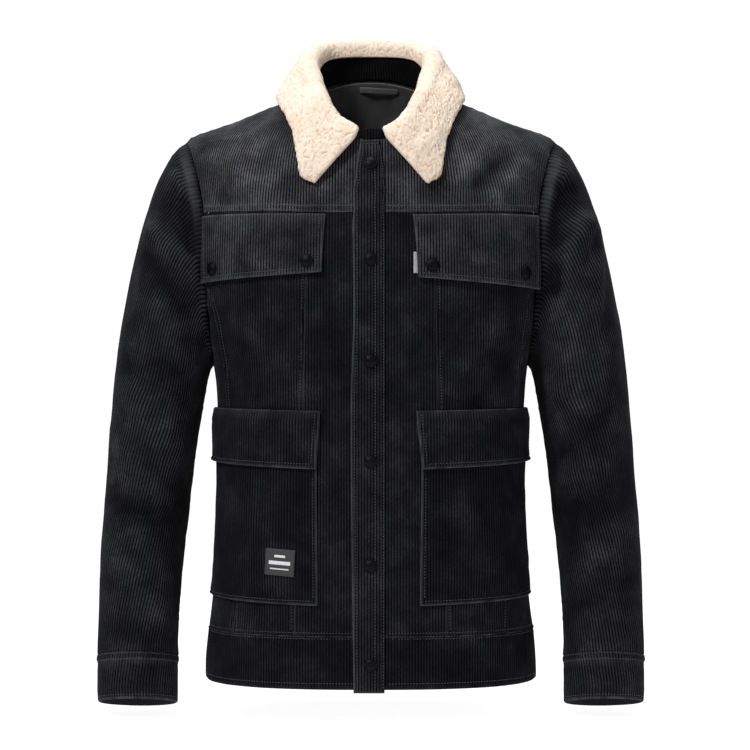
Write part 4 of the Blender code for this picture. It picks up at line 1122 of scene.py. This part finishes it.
class OnFront:
    """Outline and stand-off of a piece on the front, from the rows of its table, with the distance
    of its stitches from its edges."""

    def __init__(self, table, side, inner, outer, stitch, margin=0.0, puffed=False):
        rows = np.array(table)
        self.side, self.inner, self.outer, self.margin = side, inner, outer, margin
        self.stitch, self.puffed, self.creases = stitch, puffed, POCKET_CREASES if puffed else ()
        drop = np.concatenate([[0.0], np.cumsum(-np.diff(rows[:, :2].mean(axis=1)))])
        self.length = float(drop[-1])
        self.shape = Table(np.column_stack([drop, rows]))

    def ends(self, down):
        inner_z, outer_z, _ = self.shape.at(down)
        return self.inner(inner_z), self.outer(outer_z) - self.side * self.margin

    def spot(self, s, down):
        inner_z, outer_z, stand_off = self.shape.at(down)
        near, far = self.ends(down)
        share = np.clip((s - near) / (far - near), 0, 1)
        if self.puffed:
            rise = smooth(np.minimum(share, 1 - share) / PUFF_SHARE)
            stand_off = EDGE_STAND_OFF + (stand_off - EDGE_STAND_OFF) * rise
        points, normals = body_spot(s, inner_z + (outer_z - inner_z) * share)
        return points + normals * (np.asarray(stand_off) * np.ones(len(s)))[:, None], normals

    def lines(self):
        """Rows of the piece, from the lowest to the highest; a row's level is its distance from the
        top, below zero."""
        lines = []
        downs = levels_between(0.0, self.length, marks=(self.length - self.stitch,), own_gap=0.0)
        for down in downs[::-1]:
            def spot(s, down=down):
                return self.spot(s, down)

            left, right = sorted(self.ends(down))
            lines.append(Line(left, right, min(down, self.length - down), spot, -down))
        return lines

    def relief(self, line, s, points):
        """Stitches inside the sides and the lower edge of a flap or pocket, and its lighter edges."""
        height, painted_highlight = np.zeros(len(s)), np.zeros(len(s))
        from_near, from_far = (np.abs(s - end) for end in self.ends(-line.level))
        for distance, light in ((from_near, 0.75), (from_far, 0.6), (self.length + line.level, 0.85)):
            height += sewn(distance - self.stitch) + folded(distance, self.stitch)
            height += pucker(points, distance, 9.0, 0.4, 10.0) - 0.5 * dropped(distance, 2.0)
            painted_highlight = np.maximum(painted_highlight, light * light_edge(distance, 1.5))
        painted_highlight = np.maximum(painted_highlight, 0.75 * light_edge(-line.level, 1.2))
        return height, painted_highlight * (0.72 + 0.28 * waves(points, 21.0, 43))


def build_strip():
    low, high = HEM - STRIP_DROP, NECK_EDGE - GAP
    marks = (low + STRIP_END_STITCH, high - STRIP_END_STITCH, BAND_TOP)

    def edges(level):
        return (float(length_at(angle_at_x(x, level), level)) for x in STRIP_TABLE.at(max(level, HEM)))

    def relief(line, s, points):
        free, sewn_side = s - line.left, line.right - s
        ends = min(line.level - low, high - line.level)
        height = sewn(free - STRIP_FREE_STITCH) + folded(free, STRIP_FREE_STITCH)
        height += sum(sewn(sewn_side - at) for at in STRIP_SEWN_STITCHES)
        height += pucker(points, free, 6.0, 0.35, 9.0) + pucker(points, sewn_side, 8.0, 0.35, 9.0)
        height += sewn(ends - STRIP_END_STITCH) - 0.8 * dropped(ends, 2.5)
        painted_highlight = 0.85 * light_edge(free, 1.6) + 0.5 * light_edge(ends, 1.8)
        return height, painted_highlight * (0.75 + 0.25 * waves(points, 25.0, 41))

    levels = levels_between(low, high, marks=marks, own_gap=0.0)
    lines = body_lines(levels, edges, inset=0.0, ends=(low, high))
    lay("placket_strip", lines, relief, ["front_centre_left", "hem_band_left"], "strip",
        lift=EDGE_STAND_OFF + STRIP, thick=STRIP - 0.1, creases=())


def build_flaps():
    """The chest flaps, and the lower pockets with their flaps. Returns their forms by side."""
    forms = {}
    for side, name in SIDE_NAMES.items():
        def inner(level, side=side):
            return float(seam_length(POCKET_LINE[side], level, side))

        def to_armhole(level, side=side):
            return end_length(level, side)

        def over_side(level, side=side):
            seam = float(seam_length(SIDE_SEAM, level, side))
            return seam + (end_length(level, side) - seam) * POCKET_REACH

        flap = OnFront(CHEST_FLAPS[side], side, inner, to_armhole, FLAP_STITCH, CHEST_MARGIN)
        pocket = OnFront(LOWER_POCKET, side, inner, over_side, POCKET_STITCH, puffed=True)
        cover = OnFront(LOWER_FLAP, side, inner, over_side, FLAP_STITCH)
        middle = f"front_middle_{name}"
        for part, form, rests_on, *painted_sheen in (
            ("chest_flap", flap, [f"front_yoke_{name}", middle], "flap"),
            ("lower_pocket", pocket, [middle, f"front_side_{name}"], "pocket"),
            ("lower_flap", cover, [middle, f"lower_pocket_{name}"], "flap", 0.12),
        ):
            lay(f"{part}_{name}", form.lines(), form.relief, rests_on, *painted_sheen, lift=FLAP, thick=FLAP - 0.3,
                creases=form.creases)
        forms[side] = (flap, pocket, cover)
    return forms


def turned_round(profile, sides):
    """Points and faces of a form turned about its own axis, closed at both ends."""
    turn = np.arange(sides) * WHOLE_TURN / sides
    rings = [np.column_stack([r * np.cos(turn), r * np.sin(turn), np.full(sides, h)]) for r, h in profile]
    points = np.concatenate(rings + [[[0, 0, profile[0][1]]], [[0, 0, profile[-1][1]]]])
    column = np.arange(sides)
    after = (column + 1) % sides
    last, foot = (len(profile) - 1) * sides, len(profile) * sides
    quads = [np.stack([r + column, r + after, r + sides + after, r + sides + column], 1)
             for r in range(0, last, sides)]
    triangles = [np.stack([after, column, np.full(sides, foot)], 1),
                 np.stack([last + column, last + after, np.full(sides, foot + 1)], 1)]
    return points, [np.concatenate(quads), np.concatenate(triangles)]


def snap(node, seat, out):
    """Snap cap on a seat, its dome turned out."""
    points, faces = turned_round(SNAP_PROFILE, SNAP_SIDES)
    right = unit(np.cross(UP, out))
    axes = np.stack([right, np.cross(out, right), out])
    made = make_mesh(f"{node}_cap", seat + points @ axes, faces, [METAL])
    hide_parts(node)


def find_on_front(form, x, z, down, lift=0.0):
    """Length and distance down a piece of the front that lie at x and z."""
    def spot(s, down):
        points, normals = form.spot(np.array([s]), down)
        return (points + normals * lift)[0]

    s = sum(form.ends(down)) / 2
    for _ in range(25):
        here = spot(s, down)
        across, below = spot(s + 1.0, down) - here, spot(s, down + 1.0) - here
        miss_x, miss_z = x - here[0], z - here[2]
        spin = across[0] * below[2] - across[2] * below[0]
        if abs(spin) < 0.05:
            break
        s += float(np.clip((miss_x * below[2] - miss_z * below[0]) / spin, -25, 25))
        down = float(np.clip(down + (across[0] * miss_z - across[2] * miss_x) / spin, 1.0, 230.0))
        near, far = sorted(form.ends(down))
        s = float(np.clip(s, near + 1.5, far - 1.5))
    return s, down


def build_snaps(forms):
    for number, level in enumerate(STRIP_SNAP_LEVELS, 1):
        points, normals = body_spot(np.array([0.0]), level, out=EDGE_STAND_OFF + STRIP + SNAP_SEAT)
        snap(f"front_snap_{number}", points[0], normals[0])
    for side, name in SIDE_NAMES.items():
        flap = forms[side][0]
        for place, x, z in FLAP_SNAPS[side]:
            s, down = find_on_front(flap, side * x, z, 40.0, FLAP)
            points, normals = flap.spot(np.array([s]), down)
            snap(f"flap_snap_{name}_{place}", points[0] + normals[0] * (FLAP + SNAP_SEAT), normals[0])


PATCH_X, PATCH_Z, PATCH_SIZE, PATCH_TILT = -96.8, -513.3, (31.5, 28.5), math.radians(3.5)
PATCH_CELLS, PATCH_THICK = 22, 0.9
PATCH_RISE = 0.7             # over the tops of the wales under it
PATCH_SPREAD = 1.04          # lengths along the puffed pocket to those along the patch
PATCH_BARS = [
    # left, right, top and bottom as shares of the patch: plain bars, with nothing to read
    (0.20, 0.80, 0.22, 0.29), (0.14, 0.86, 0.42, 0.56), (0.30, 0.70, 0.70, 0.77),
]


def build_patch(pocket):
    """Bare patch with a pressed border and three plain bars, sewn down round its edge."""
    s, down = find_on_front(pocket, PATCH_X, PATCH_Z, 140.0)
    width, height = PATCH_SIZE
    cosine, sine = math.cos(PATCH_TILT), math.sin(PATCH_TILT)
    share = np.linspace(-0.5, 0.5, PATCH_CELLS + 1)
    rows = []
    for z in share[::-1] * height:
        right, lower = share * width * cosine - z * sine, share * width * sine + z * cosine
        rows.append([pocket.spot(np.array([s + over * PATCH_SPREAD]), down + under)
                     for over, under in zip(right, lower)])
    points, normals = np.moveaxis(np.array(rows)[:, :, :, 0], 2, 0)
    from_edge = np.minimum(0.5 - np.abs(share)[:, None], 0.5 - np.abs(share)[None, :]) * width
    inner = points + normals * (FLAP + EDGE_STAND_OFF)
    outer = points + normals * (FLAP + EDGE_STAND_OFF + PATCH_THICK + PATCH_RISE)
    outer[..., 1] += 0.45 * dropped(from_edge, 1.6) + 0.18 * np.exp(-((from_edge - 2.6) / 0.8) ** 2)
    centre = share[:-1] + 0.5 / PATCH_CELLS + 0.5
    picks = [int(any(a < at < b and c < below < d for a, b, c, d in PATCH_BARS))
             for below in centre for at in centre]
    made = shell("patch_face", "patch", outer, inner, [PATCH, PATCH_MARK], picks=picks,
                 turn_out=False)


TAB_X, TAB_LEVELS = (46.2, 51.5), (-201.0, -178.0)


def build_tab():
    """Bare woven tab in the flap's side seam, folded double."""
    share = np.linspace(0.0, 1.0, 8) * np.ones((24, 1))
    level = np.linspace(*TAB_LEVELS, 24)[:, None] * np.ones(8)
    s = length_at(angle_at_x(TAB_X[0] + (TAB_X[1] - TAB_X[0]) * share, level), level)
    rounding = 0.35 * dropped(np.minimum(share, 1 - share) * (TAB_X[1] - TAB_X[0]), 0.8)
    ribs = 0.06 * np.cos(level * 5.2)
    outer, inner = (body_spot(s, level, out=out)[0] for out in (1.5 - rounding + ribs, 0.5 + rounding))
    made = shell("side_tab_tape", "side_tab", outer, inner, [TAPE], turn_out=False)


# Collar of fleece, its corduroy stand, and what shows inside the neck

NECK_Y, PILE = 10, 9.0
COLLAR = [
    # edge_angle, edge_level, roll_x, roll_y, roll_z, radius, inside, start
    (17.3, -109.0, 13.5, -104.5, -51.0, 7.0, 0, 85),
    (22.0, -105.5, 27.0, -100.0, -43.5, 7.2, 0, 65),
    (26.8, -92.0, 41.5, -91.5, -30.0, 7.8, 2, 30),
    (36.6, -76.0, 53.0, -77.0, -12.0, 8.4, 5, 5),
    (53.0, -66.5, 63.0, -45.0, 13.0, 9.0, 8, 0),
    (90.0, -62.0, 71.0, -8.0, 40.0, 9.0, 10, 0),
    (125.0, -62.0, 61.0, 32.0, 57.0, 9.0, 10, 0),
    (155.0, -65.0, 36.0, 57.0, 64.0, 9.0, 10, 0),
    (180.0, -67.0, 0.0, 66.0, 65.7, 9.0, 10, 0),
]
COLLAR_TABLE = Table(COLLAR, by_index=True)
COLLAR_ALONG, COLLAR_ACROSS = 262, 84
STAND_ANGLES = [7.5, 15.0, 24.0, 35.0, 57.0, 90.0, 125.0, 155.0, 180.0]
STAND_TABLE = Table(np.array(STAND_ANGLES)[:, None], by_index=True)
STAND_ALONG, STAND_ACROSS, STAND_FRONT_COLUMNS = 300, 12, 19
STAND_FRONT_X, STAND_FRONT_Y, STAND_FRONT_Z = (-9.8, 10.0), -101.0, -42.5
# The stand's painted sheen is below zero, so its crests keep the dark colours.
STAND, STAND_GAP, STAND_WIDTH, STAND_WALE, STAND_SHEEN = 2.5, 0.8, 14.0, 0.42, -0.3
FALL_CROWN, COLLAR_STAND_OFF = 3.0, 0.8
FALL_SMOOTHING, ROUND_SMOOTHING = 40, 60
CURL, CURL_HEIGHT = 3.4, 1.9           # from curl to curl, and how high they are
CURL_SIDEWAYS = 3.6                    # how far they stand out of the rounded edge
TUFT = 11.0                            # clumps of curls
EDGE_ROUND = 4.4
CELLS = (97, 89)                       # of curls, before they repeat


def neck_out(points):
    """Level ways out of the neck at points round it."""
    return unit(np.stack([1.2 * points[..., 0], points[..., 1] + NECK_Y, 0.0 * points[..., 0]], axis=-1))


def collar_line(place, count):
    """Middle line of the fleece at one place of the collar's half, from its inner edge over the roll
    to its outer edge, at even distances, and the way up at its inner edge."""
    edge_angle, edge_level, x, y, z, radius, inside, start = COLLAR_TABLE.at(place)
    middle = np.array([x, y, z])
    out = neck_out(middle)
    start = math.radians(start)
    tangent = out * math.sin(start) + UP * math.cos(start)
    turn = np.linspace(start, HALF_TURN, 40)[:, None]
    roll = middle + (UP * np.sin(turn) - out * np.cos(turn)) * radius
    foot = roll[:1] - tangent * max(inside, 1.5)
    angle, level = np.array([math.radians(edge_angle)]), np.array([edge_level])
    edge = body_point(angle, level) + body_frame(angle, level)[1] * (PILE / 2 + COLLAR_STAND_OFF)
    share = np.linspace(0.02, 1.0, 60)[:, None]
    fall = roll[-1:] + (edge - roll[-1:]) * share + out * (FALL_CROWN * np.sin(HALF_TURN * share))
    line = np.concatenate([foot, roll, fall])
    runs = runs_along(line)
    line = points_at(np.linspace(0.0, runs[-1], count), runs, line)
    for _ in range(FALL_SMOOTHING if count > 8 else 0):
        line[1:-1] = (line[:-2] + 2 * line[1:-1] + line[2:]) / 4
    return line, tangent


def collar_grid(along, across):
    """Middle surface of the fleece from the right front end round to the left one, the ways up at its
    inner edge, and places in the collar's tables."""
    half = np.linspace(0.0, len(COLLAR) - 1, along)
    lines, ways = (np.array(part) for part in zip(*[collar_line(place, across) for place in half]))
    mirror = np.array([-1.0, 1.0, 1.0])
    lines = np.concatenate([lines * mirror, lines[-2::-1]])
    ways = np.concatenate([ways * mirror, ways[-2::-1]])
    for _ in range(ROUND_SMOOTHING):
        lines[1:-1] = (lines[:-2] + 2 * lines[1:-1] + lines[2:]) / 4
    return lines, ways, np.concatenate([half, half[-2::-1]])


def curls(u, v, size, seed):
    """Height of rounded curls of a size over a sheet measured in u and v, from 0 to 1."""
    dice = np.random.default_rng(seed)
    jitter = dice.uniform(0.1, 0.9, (*CELLS, 2))
    tall = dice.uniform(0.45, 1.0, CELLS)
    cell_u, cell_v = np.floor(u / size).astype(int), np.floor(v / size).astype(int)
    best = np.zeros(u.shape)
    for step_u in (-1, 0, 1):
        for step_v in (-1, 0, 1):
            i, j = (cell_u + step_u) % CELLS[0], (cell_v + step_v) % CELLS[1]
            at_u = (cell_u + step_u + jitter[i, j, 0]) * size
            at_v = (cell_v + step_v + jitter[i, j, 1]) * size
            off = ((u - at_u) ** 2 + (v - at_v) ** 2) / (0.72 * size) ** 2
            best = np.maximum(best, tall[i, j] * np.sqrt(np.clip(1 - off, 0, 1)))
    return best


def build_collar():
    """The fleece: a thick rounded wall, with raised curls on its outer skin."""
    middle = collar_grid(COLLAR_ALONG, COLLAR_ACROSS)[0]
    down = np.gradient(middle, axis=1)
    normal = unit(np.cross(np.gradient(middle, axis=0), down))
    length_u, length_v = runs_along(middle), runs_along(middle, 1)
    to_edge = length_v[:, -1:] - length_v
    to_end = np.minimum(length_u, length_u[-1:] - length_u)
    near = np.minimum(np.minimum(to_edge, to_end + 0.6), EDGE_ROUND) / EDGE_ROUND
    half = PILE / 2 * np.sqrt(np.clip(1 - (1 - near) ** 2, 0.02, 1))
    along, warp = length_u[:, [COLLAR_ACROSS // 2]], 2.2 * waves(middle, 16.0, 61)
    small = curls(along + warp, length_v + 1.7 * waves(middle, 12.0, 62), CURL, 63)
    large = curls(along - warp, length_v + warp, TUFT, 64)
    curl = 0.72 * small + 0.28 * large
    lift = CURL_HEIGHT * (curl - 0.45) * smooth(length_v / 3.0) + 0.7 * waves(middle, 30.0, 65)
    sideways = (1 - near) * (curl - 0.5) * CURL_SIDEWAYS * (to_edge < EDGE_ROUND)
    outer = middle + normal * (half - 0.9 + lift)[..., None] + unit(down) * sideways[..., None]
    inner = middle - normal * (half - 0.6 + 0.35 * waves(middle, 5.0, 66))[..., None]
    marks = {"wale": np.concatenate([(0.15 + 0.85 * curl).ravel(), np.full(curl.size, 0.4)])}
    made = shell("collar_fleece", "collar", outer, inner, [FLEECE], marks)


def build_stand():
    """The corduroy band between neck seam and fleece, its wales upright."""
    middle, ways, places = collar_grid(STAND_ALONG, 4)
    side = np.where(np.arange(len(places)) < STAND_ALONG, -1.0, 1.0)
    foot = body_point(np.radians(STAND_TABLE.at(places)[:, 0]) * side, NECK_EDGE)
    foot = foot + UP * STAND_GAP - neck_out(foot) * (STAND / 2)
    head = middle[:, 0] - ways * STAND_GAP
    front_x = np.linspace(*STAND_FRONT_X, STAND_FRONT_COLUMNS)
    front_foot = body_point(angle_at_x(front_x, NECK_EDGE), NECK_EDGE) + np.array([0.0, STAND / 2, STAND_GAP])
    front_head = np.array([(x, STAND_FRONT_Y, STAND_FRONT_Z) for x in front_x])
    foot, head = np.concatenate([front_foot, foot[::-1]]), np.concatenate([front_head, head[::-1]])
    runs = runs_along((foot + head) / 2)
    column = np.arange(int(runs[-1] / STEP))
    foot, head = (points_at(column * STEP, runs, line) for line in (foot, head))
    share = np.linspace(0.0, 1.0, STAND_ACROSS)[:, None, None]
    middle = foot + (head - foot) * share
    normal = unit(np.cross(np.gradient(middle, axis=1), np.gradient(middle, axis=0)))
    wale = (column % PER_WALE != 0).astype(float)
    edge = np.minimum(share[..., 0], 1 - share[..., 0]) * STAND_WIDTH
    height = STAND / 2 - 0.1 + STAND_WALE * (wale - 1) - 0.45 * dropped(edge, 2.0)
    off = normal * height[..., None]
    both = 2 * height.size
    marks = {
        "wale": np.tile(wale, 2 * STAND_ACROSS), "painted_highlight": np.zeros(both), "painted_sheen": np.full(both, STAND_SHEEN),
    }
    made = shell("collar_stand_cloth", "collar_stand", middle + off, middle - off,
                 [CORDUROY], marks)


LINING, LINING_TOP = 1.2, -(3.0 + GAP)
LINING_SHARE = 6 / 7                   # of the back's width, that the lining covers
LOOP_X, LOOP_LEVELS = (-13.6, 32.6), (-60.0, -57.0)
LOOP_STAND_OFF, LOOP_BOW, LOOP_THICK = 1.0, 3.0, 0.8


def build_lining():
    """Satin lining of the back yoke, in soft upright folds."""
    levels = np.array(levels_between(YOKE_SEAM, NECK_EDGE, 3.0))
    reach = np.array([back_reach(level) for level in levels]) * LINING_SHARE
    s, level = np.linspace(-reach, reach, 190, axis=1), levels[:, None]
    points, normals = body_spot(s, level, True)
    fold = 0.9 * np.sin(s / 7.5 + 1.3 * np.sin(points[..., 2] / 21.0)) + 0.8 * waves(points, 24.0, 71)
    fold = fold * smooth((NECK_EDGE - level) / 8.0)
    inner = points + normals * (LINING_TOP - LINING + 0.15 - 0.75 * np.abs(fold))[..., None]
    outer = points + normals * (LINING_TOP - 0.05)
    made = shell("back_lining_cloth", "back_lining", outer, inner, [SATIN], turn_out=False)
    width, height = float(2 * reach.max()) * MM, float(runs_along(points[:, s.shape[1] // 2])[-1]) * MM
    across, back = points[1:, 1:] - points[:-1, :-1], points[1:, :-1] - points[:-1, 1:]
    area = float(np.sum(np.linalg.norm(np.cross(across, back), axis=-1)) / 2) * MM * MM


def build_loop():
    """The hanger loop, bowed off the lining."""
    share, level = np.linspace(0.0, 1.0, 60), np.linspace(*LOOP_LEVELS, 9)[:, None]
    angle = HALF_TURN - angle_at_x(LOOP_X[1] + (LOOP_X[0] - LOOP_X[1]) * share, level)
    points, normal = body_point(angle, level), body_frame(angle, level)[1]
    rounding = 0.22 * (np.arange(9) - 4)[:, None] ** 2 / 16
    under = LINING_TOP - LINING - LOOP_STAND_OFF - LOOP_BOW * np.sin(HALF_TURN * share)
    under = under + 0.06 * np.sin(share * 90.0)
    outer, inner = (points + normal * (under - thick * (1 - rounding))[..., None]
                    for thick in (0.0, LOOP_THICK))
    made = shell("hanger_loop_cloth", "hanger_loop", outer, inner, [LOOP])


# Sewing: every stitch is a small thread of its own, lying in its dip

STITCH_PITCH, STITCH_LONG, THREAD_HALF, TIP_SINK = 3.3, 2.35, 0.3, 0.25
STITCH_SINK = 0.12
STITCH_QUADS = np.array([(2 + i, 2 + (i + 1) % 4, 6 + (i + 1) % 4, 6 + i) for i in range(4)])
STITCH_TRIANGLES = np.array(
    [(0, 2 + (i + 1) % 4, 2 + i) for i in range(4)] + [(1, 6 + i, 6 + (i + 1) % 4) for i in range(4)])


def on_cloth(points, normals, lift=0.0, creases=CREASES, calm=1.0):
    """A sewn line's points on a cut piece, from those of its solid's form, and their normals."""
    height = uneven(points, lift) + crease_height(points, normals, creases) * calm - STITCH_SINK
    return points + normals * height[:, None], normals


def stitch_row(points, normals):
    """Points of the stitches along one sewn line: two tips, and two square sections each."""
    runs = runs_along(points)
    count = int(runs[-1] / STITCH_PITCH)
    starts = (np.arange(count) + 0.5) * runs[-1] / count - STITCH_LONG / 2
    first, last = points_at(starts, runs, points), points_at(starts + STITCH_LONG, runs, points)
    out = unit(points_at(starts, runs, normals))
    beside = unit(np.cross(unit(last - first), out))
    parts = [first - out * TIP_SINK, last - out * TIP_SINK]
    for place in (0.22, 0.78):
        centre = first + (last - first) * place
        for over, up in ((1, 0), (0, 1), (-1, 0), (0, -1)):
            parts.append(centre + beside * (over * THREAD_HALF) + out * (up * THREAD_HALF * 0.8))
    return np.stack(parts, axis=1)


def sew(name, rows):
    """One mesh of all the stitches along some sewn lines."""
    points = np.concatenate([stitch_row(*row) for row in rows])
    offset = (np.arange(len(points)) * 10)[:, None, None]
    faces = [(STITCH_QUADS + offset).reshape(-1, 4), (STITCH_TRIANGLES + offset).reshape(-1, 3)]
    make_mesh(name, points.reshape(-1, 3), faces, [THREAD])


def body_row(s, level, on_back=False, lift=0.0, creases=CREASES):
    return on_cloth(*body_spot(s, level, on_back), lift, creases)


def sew_body():
    rows = []
    upright = np.arange(BAND_TOP + 6.0, YOKE_SEAM - 1.0, 4.0)
    lower = upright[upright < SIDE_SEAM_LEVEL - 6]
    band_levels = (*BAND_STITCHES, OVER_BAND_STITCH)
    for side in SIDE_NAMES:
        rows.append(body_row(seam_length(FRONT_SEAM, upright, side) + side * FRONT_STITCH, upright))
        rows.append(body_row(seam_length(SIDE_SEAM, lower, side) - side * SIDE_STITCH, lower))
        for above in YOKE_STITCHES:
            level = YOKE_SEAM + above / 2
            s = np.linspace(front_edge_length(level) + side * 8, end_length(level, side) - side * 2.5, 60)
            rows.append(body_row(s, YOKE_SEAM + above / yoke_stretch(s)))
        for level in band_levels:
            s = np.linspace(front_edge_length(level) + side * 9, end_length(level, side) - side * 1.5, 90)
            rows.append(body_row(s, level))
        rows.append(body_row(side * (back_seam(upright) + PANEL_STITCH), upright, True))
    for level in band_levels:
        reach = back_reach(level) - 2.0
        rows.append(body_row(np.linspace(-reach, reach, 160), level, True))
    for above in YOKE_STITCHES:
        reach = back_reach(YOKE_SEAM + above / 2) - 2.5
        s = np.linspace(-reach, reach, 160)
        rows.append(body_row(s, YOKE_SEAM + above / yoke_stretch(s, True), True))
    sew("stitches_body", rows)


def sew_front(forms):
    rows = []
    levels = np.arange(HEM + 2.0, NECK_EDGE - 3.0, 5.0)
    edges = STRIP_TABLE.at(levels)
    on_strip = dict(lift=EDGE_STAND_OFF + STRIP, creases=())
    insets = [(0, STRIP_FREE_STITCH), *((1, -at) for at in STRIP_SEWN_STITCHES)]
    for column, inset in insets:
        s = length_at(angle_at_x(edges[:, column], levels), levels) + inset
        rows.append(body_row(s, levels, **on_strip))
    level = NECK_EDGE - GAP - STRIP_END_STITCH
    free_edge, sewn_edge = STRIP_TABLE.at(level)
    s = length_at(angle_at_x(np.linspace(free_edge + 3, sewn_edge - 2, 12), level), level)
    rows.append(body_row(s, level, **on_strip))
    for side, pieces in forms.items():
        for form in pieces:
            start = 60.0 if form.puffed else 3.0
            inset = side * form.stitch
            downs = np.arange(start, form.length - form.stitch, 4.0)
            for end, way in ((0, inset), (1, -inset)):
                spots = [form.spot(np.array([form.ends(down)[end] + way]), down) for down in downs]
                points, normals = np.moveaxis(np.array(spots)[:, :, 0], 1, 0)
                rows.append(on_cloth(points, normals, FLAP, form.creases))
            down = form.length - form.stitch
            near, far = form.ends(down)
            points, normals = form.spot(np.linspace(near + inset, far - inset, 60), down)
            rows.append(on_cloth(points, normals, FLAP, form.creases))
    sew("stitches_front", rows)


def sew_sleeves():
    rows = []
    first, last = UNDER_SLEEVE
    places = np.arange(0.35, CUFF_SEAM_PLACE - 0.1, 0.15)
    tubes = [Tube(place, last, first + RING, GRAIN_POINT["top"]) for place in places]
    spots = [tube.spot(np.array([tube.lengths[0] + GAP / 2 + TOP_STITCH])) for tube in tubes]
    seam = np.moveaxis(np.array(spots)[:, :, 0], 1, 0)
    round_cuff = np.linspace(15.2, 34.8, 220)
    for side in SIDE_NAMES:
        creases, flip = sleeve_creases(side), np.array([side, 1, 1])
        sewn_lines = [on_cloth(*seam, 0.0, creases, np.minimum(1.0, places / 2.0))]
        for run in (*CUFF_STITCHES, 46.0):
            place = CUFF_START + run / 25.5
            calm = max(0.0, min(1.0, (CUFF_END - place) / 1.2))
            points, normals = sleeve_point(round_cuff, place), sleeve_normal(round_cuff, place)
            sewn_lines.append(on_cloth(points, normals, 0.0, creases, calm))
        rows += [(points * flip, normals * flip) for points, normals in sewn_lines]
    sew("stitches_sleeves", rows)


# Stage: a pale floor, soft studio light, and the camera of the photograph

EYE = (0.0047, -2.75, -0.3108)
LENS, SENSOR = 116.8, 36.0
FLOOR_DROP, FLOOR_REACH = 0.004, 1.5
AIM = (0.0, 0.0, -0.3)
LIGHTS = [
    # name, place, aim, size, power
    ("key", (-1.5, -2.1, 2.0), AIM, (0.7, 0.7), 92),
    ("fill", (2.2, -2.6, 0.9), AIM, (1.2, 1.2), 16),
    ("top", (0.0, 0.25, 2.4), (0.0, 0.0, -0.1), (2.0, 1.0), 60),
    ("back_left", (-1.9, 2.3, 1.3), AIM, (1.6, 1.6), 26),
    ("back_right", (1.9, 2.3, 1.3), AIM, (1.6, 1.6), 26),
]


def build_floor():
    low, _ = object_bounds()
    mesh = bpy.data.meshes.new("floor")
    corners = [(x * FLOOR_REACH, y * FLOOR_REACH, low[2] - FLOOR_DROP)
               for x, y in ((-1, -1), (1, -1), (1, 1), (-1, 1))]
    mesh.from_pydata(corners, [], [(0, 1, 2, 3)])
    made, tree, shader = nodes_of("studio_floor")
    pale = ramp(tree, noise(tree, 3.0, 2.0, 0.5), [(0.3, 0.26), (0.7, 0.30)])
    set_up(tree, shader, Base_Color=pale, Roughness=0.9, Specular_IOR_Level=0.0,
           Emission_Color=(1.0, 1.0, 1.0), Emission_Strength=0.95)
    mesh.materials.append(made)
    link("floor", mesh)


def build_light():
    for name, place, aim, size, power in LIGHTS:
        light = bpy.data.lights.new(name, "AREA")
        light.shape = "RECTANGLE"
        light.size, light.size_y = size
        light.energy = power
        lamp = link(name, light)
        lamp.location = place
        lamp.rotation_euler = (Vector(aim) - Vector(place)).to_track_quat("-Z", "Y").to_euler()
    world = bpy.data.worlds.new("studio")
    bpy.context.scene.world = world
    world.use_nodes = True
    tree = world.node_tree
    ground, paper = tree.nodes["Background"], add(tree, "ShaderNodeBackground")
    set_up(tree, ground, Color=(1.0, 1.0, 1.0), Strength=0.10)
    set_up(tree, paper, Color=(1.0, 1.0, 1.0), Strength=1.05)
    share = add(tree, "ShaderNodeMixShader")
    seen = add(tree, "ShaderNodeLightPath").outputs["Is Camera Ray"]
    for socket, source in zip(share.inputs, (seen, ground.outputs[0], paper.outputs[0])):
        feed(tree, socket, source)
    feed(tree, tree.nodes["World Output"].inputs["Surface"], share.outputs["Shader"])
    bpy.context.scene.view_settings.view_transform = "Standard"


def build_camera():
    camera = bpy.data.cameras.new("camera")
    camera.lens, camera.sensor_width, camera.clip_end = LENS, SENSOR, 30.0
    eye = link("camera", camera)
    eye.location = EYE
    eye.rotation_euler = (QUARTER, 0.0, 0.0)
    bpy.context.scene.camera = eye


for each_side, each_name in SIDE_NAMES.items():
    build_half(each_side, each_name)
build_back()
build_sleeves()
build_strip()
FORMS = build_flaps()
build_snaps(FORMS)
build_patch(FORMS[-1][1])
build_tab()
build_collar()
build_stand()
build_lining()
build_loop()
sew_body()
sew_front(FORMS)
sew_sleeves()
build_floor()
build_light()
build_camera()
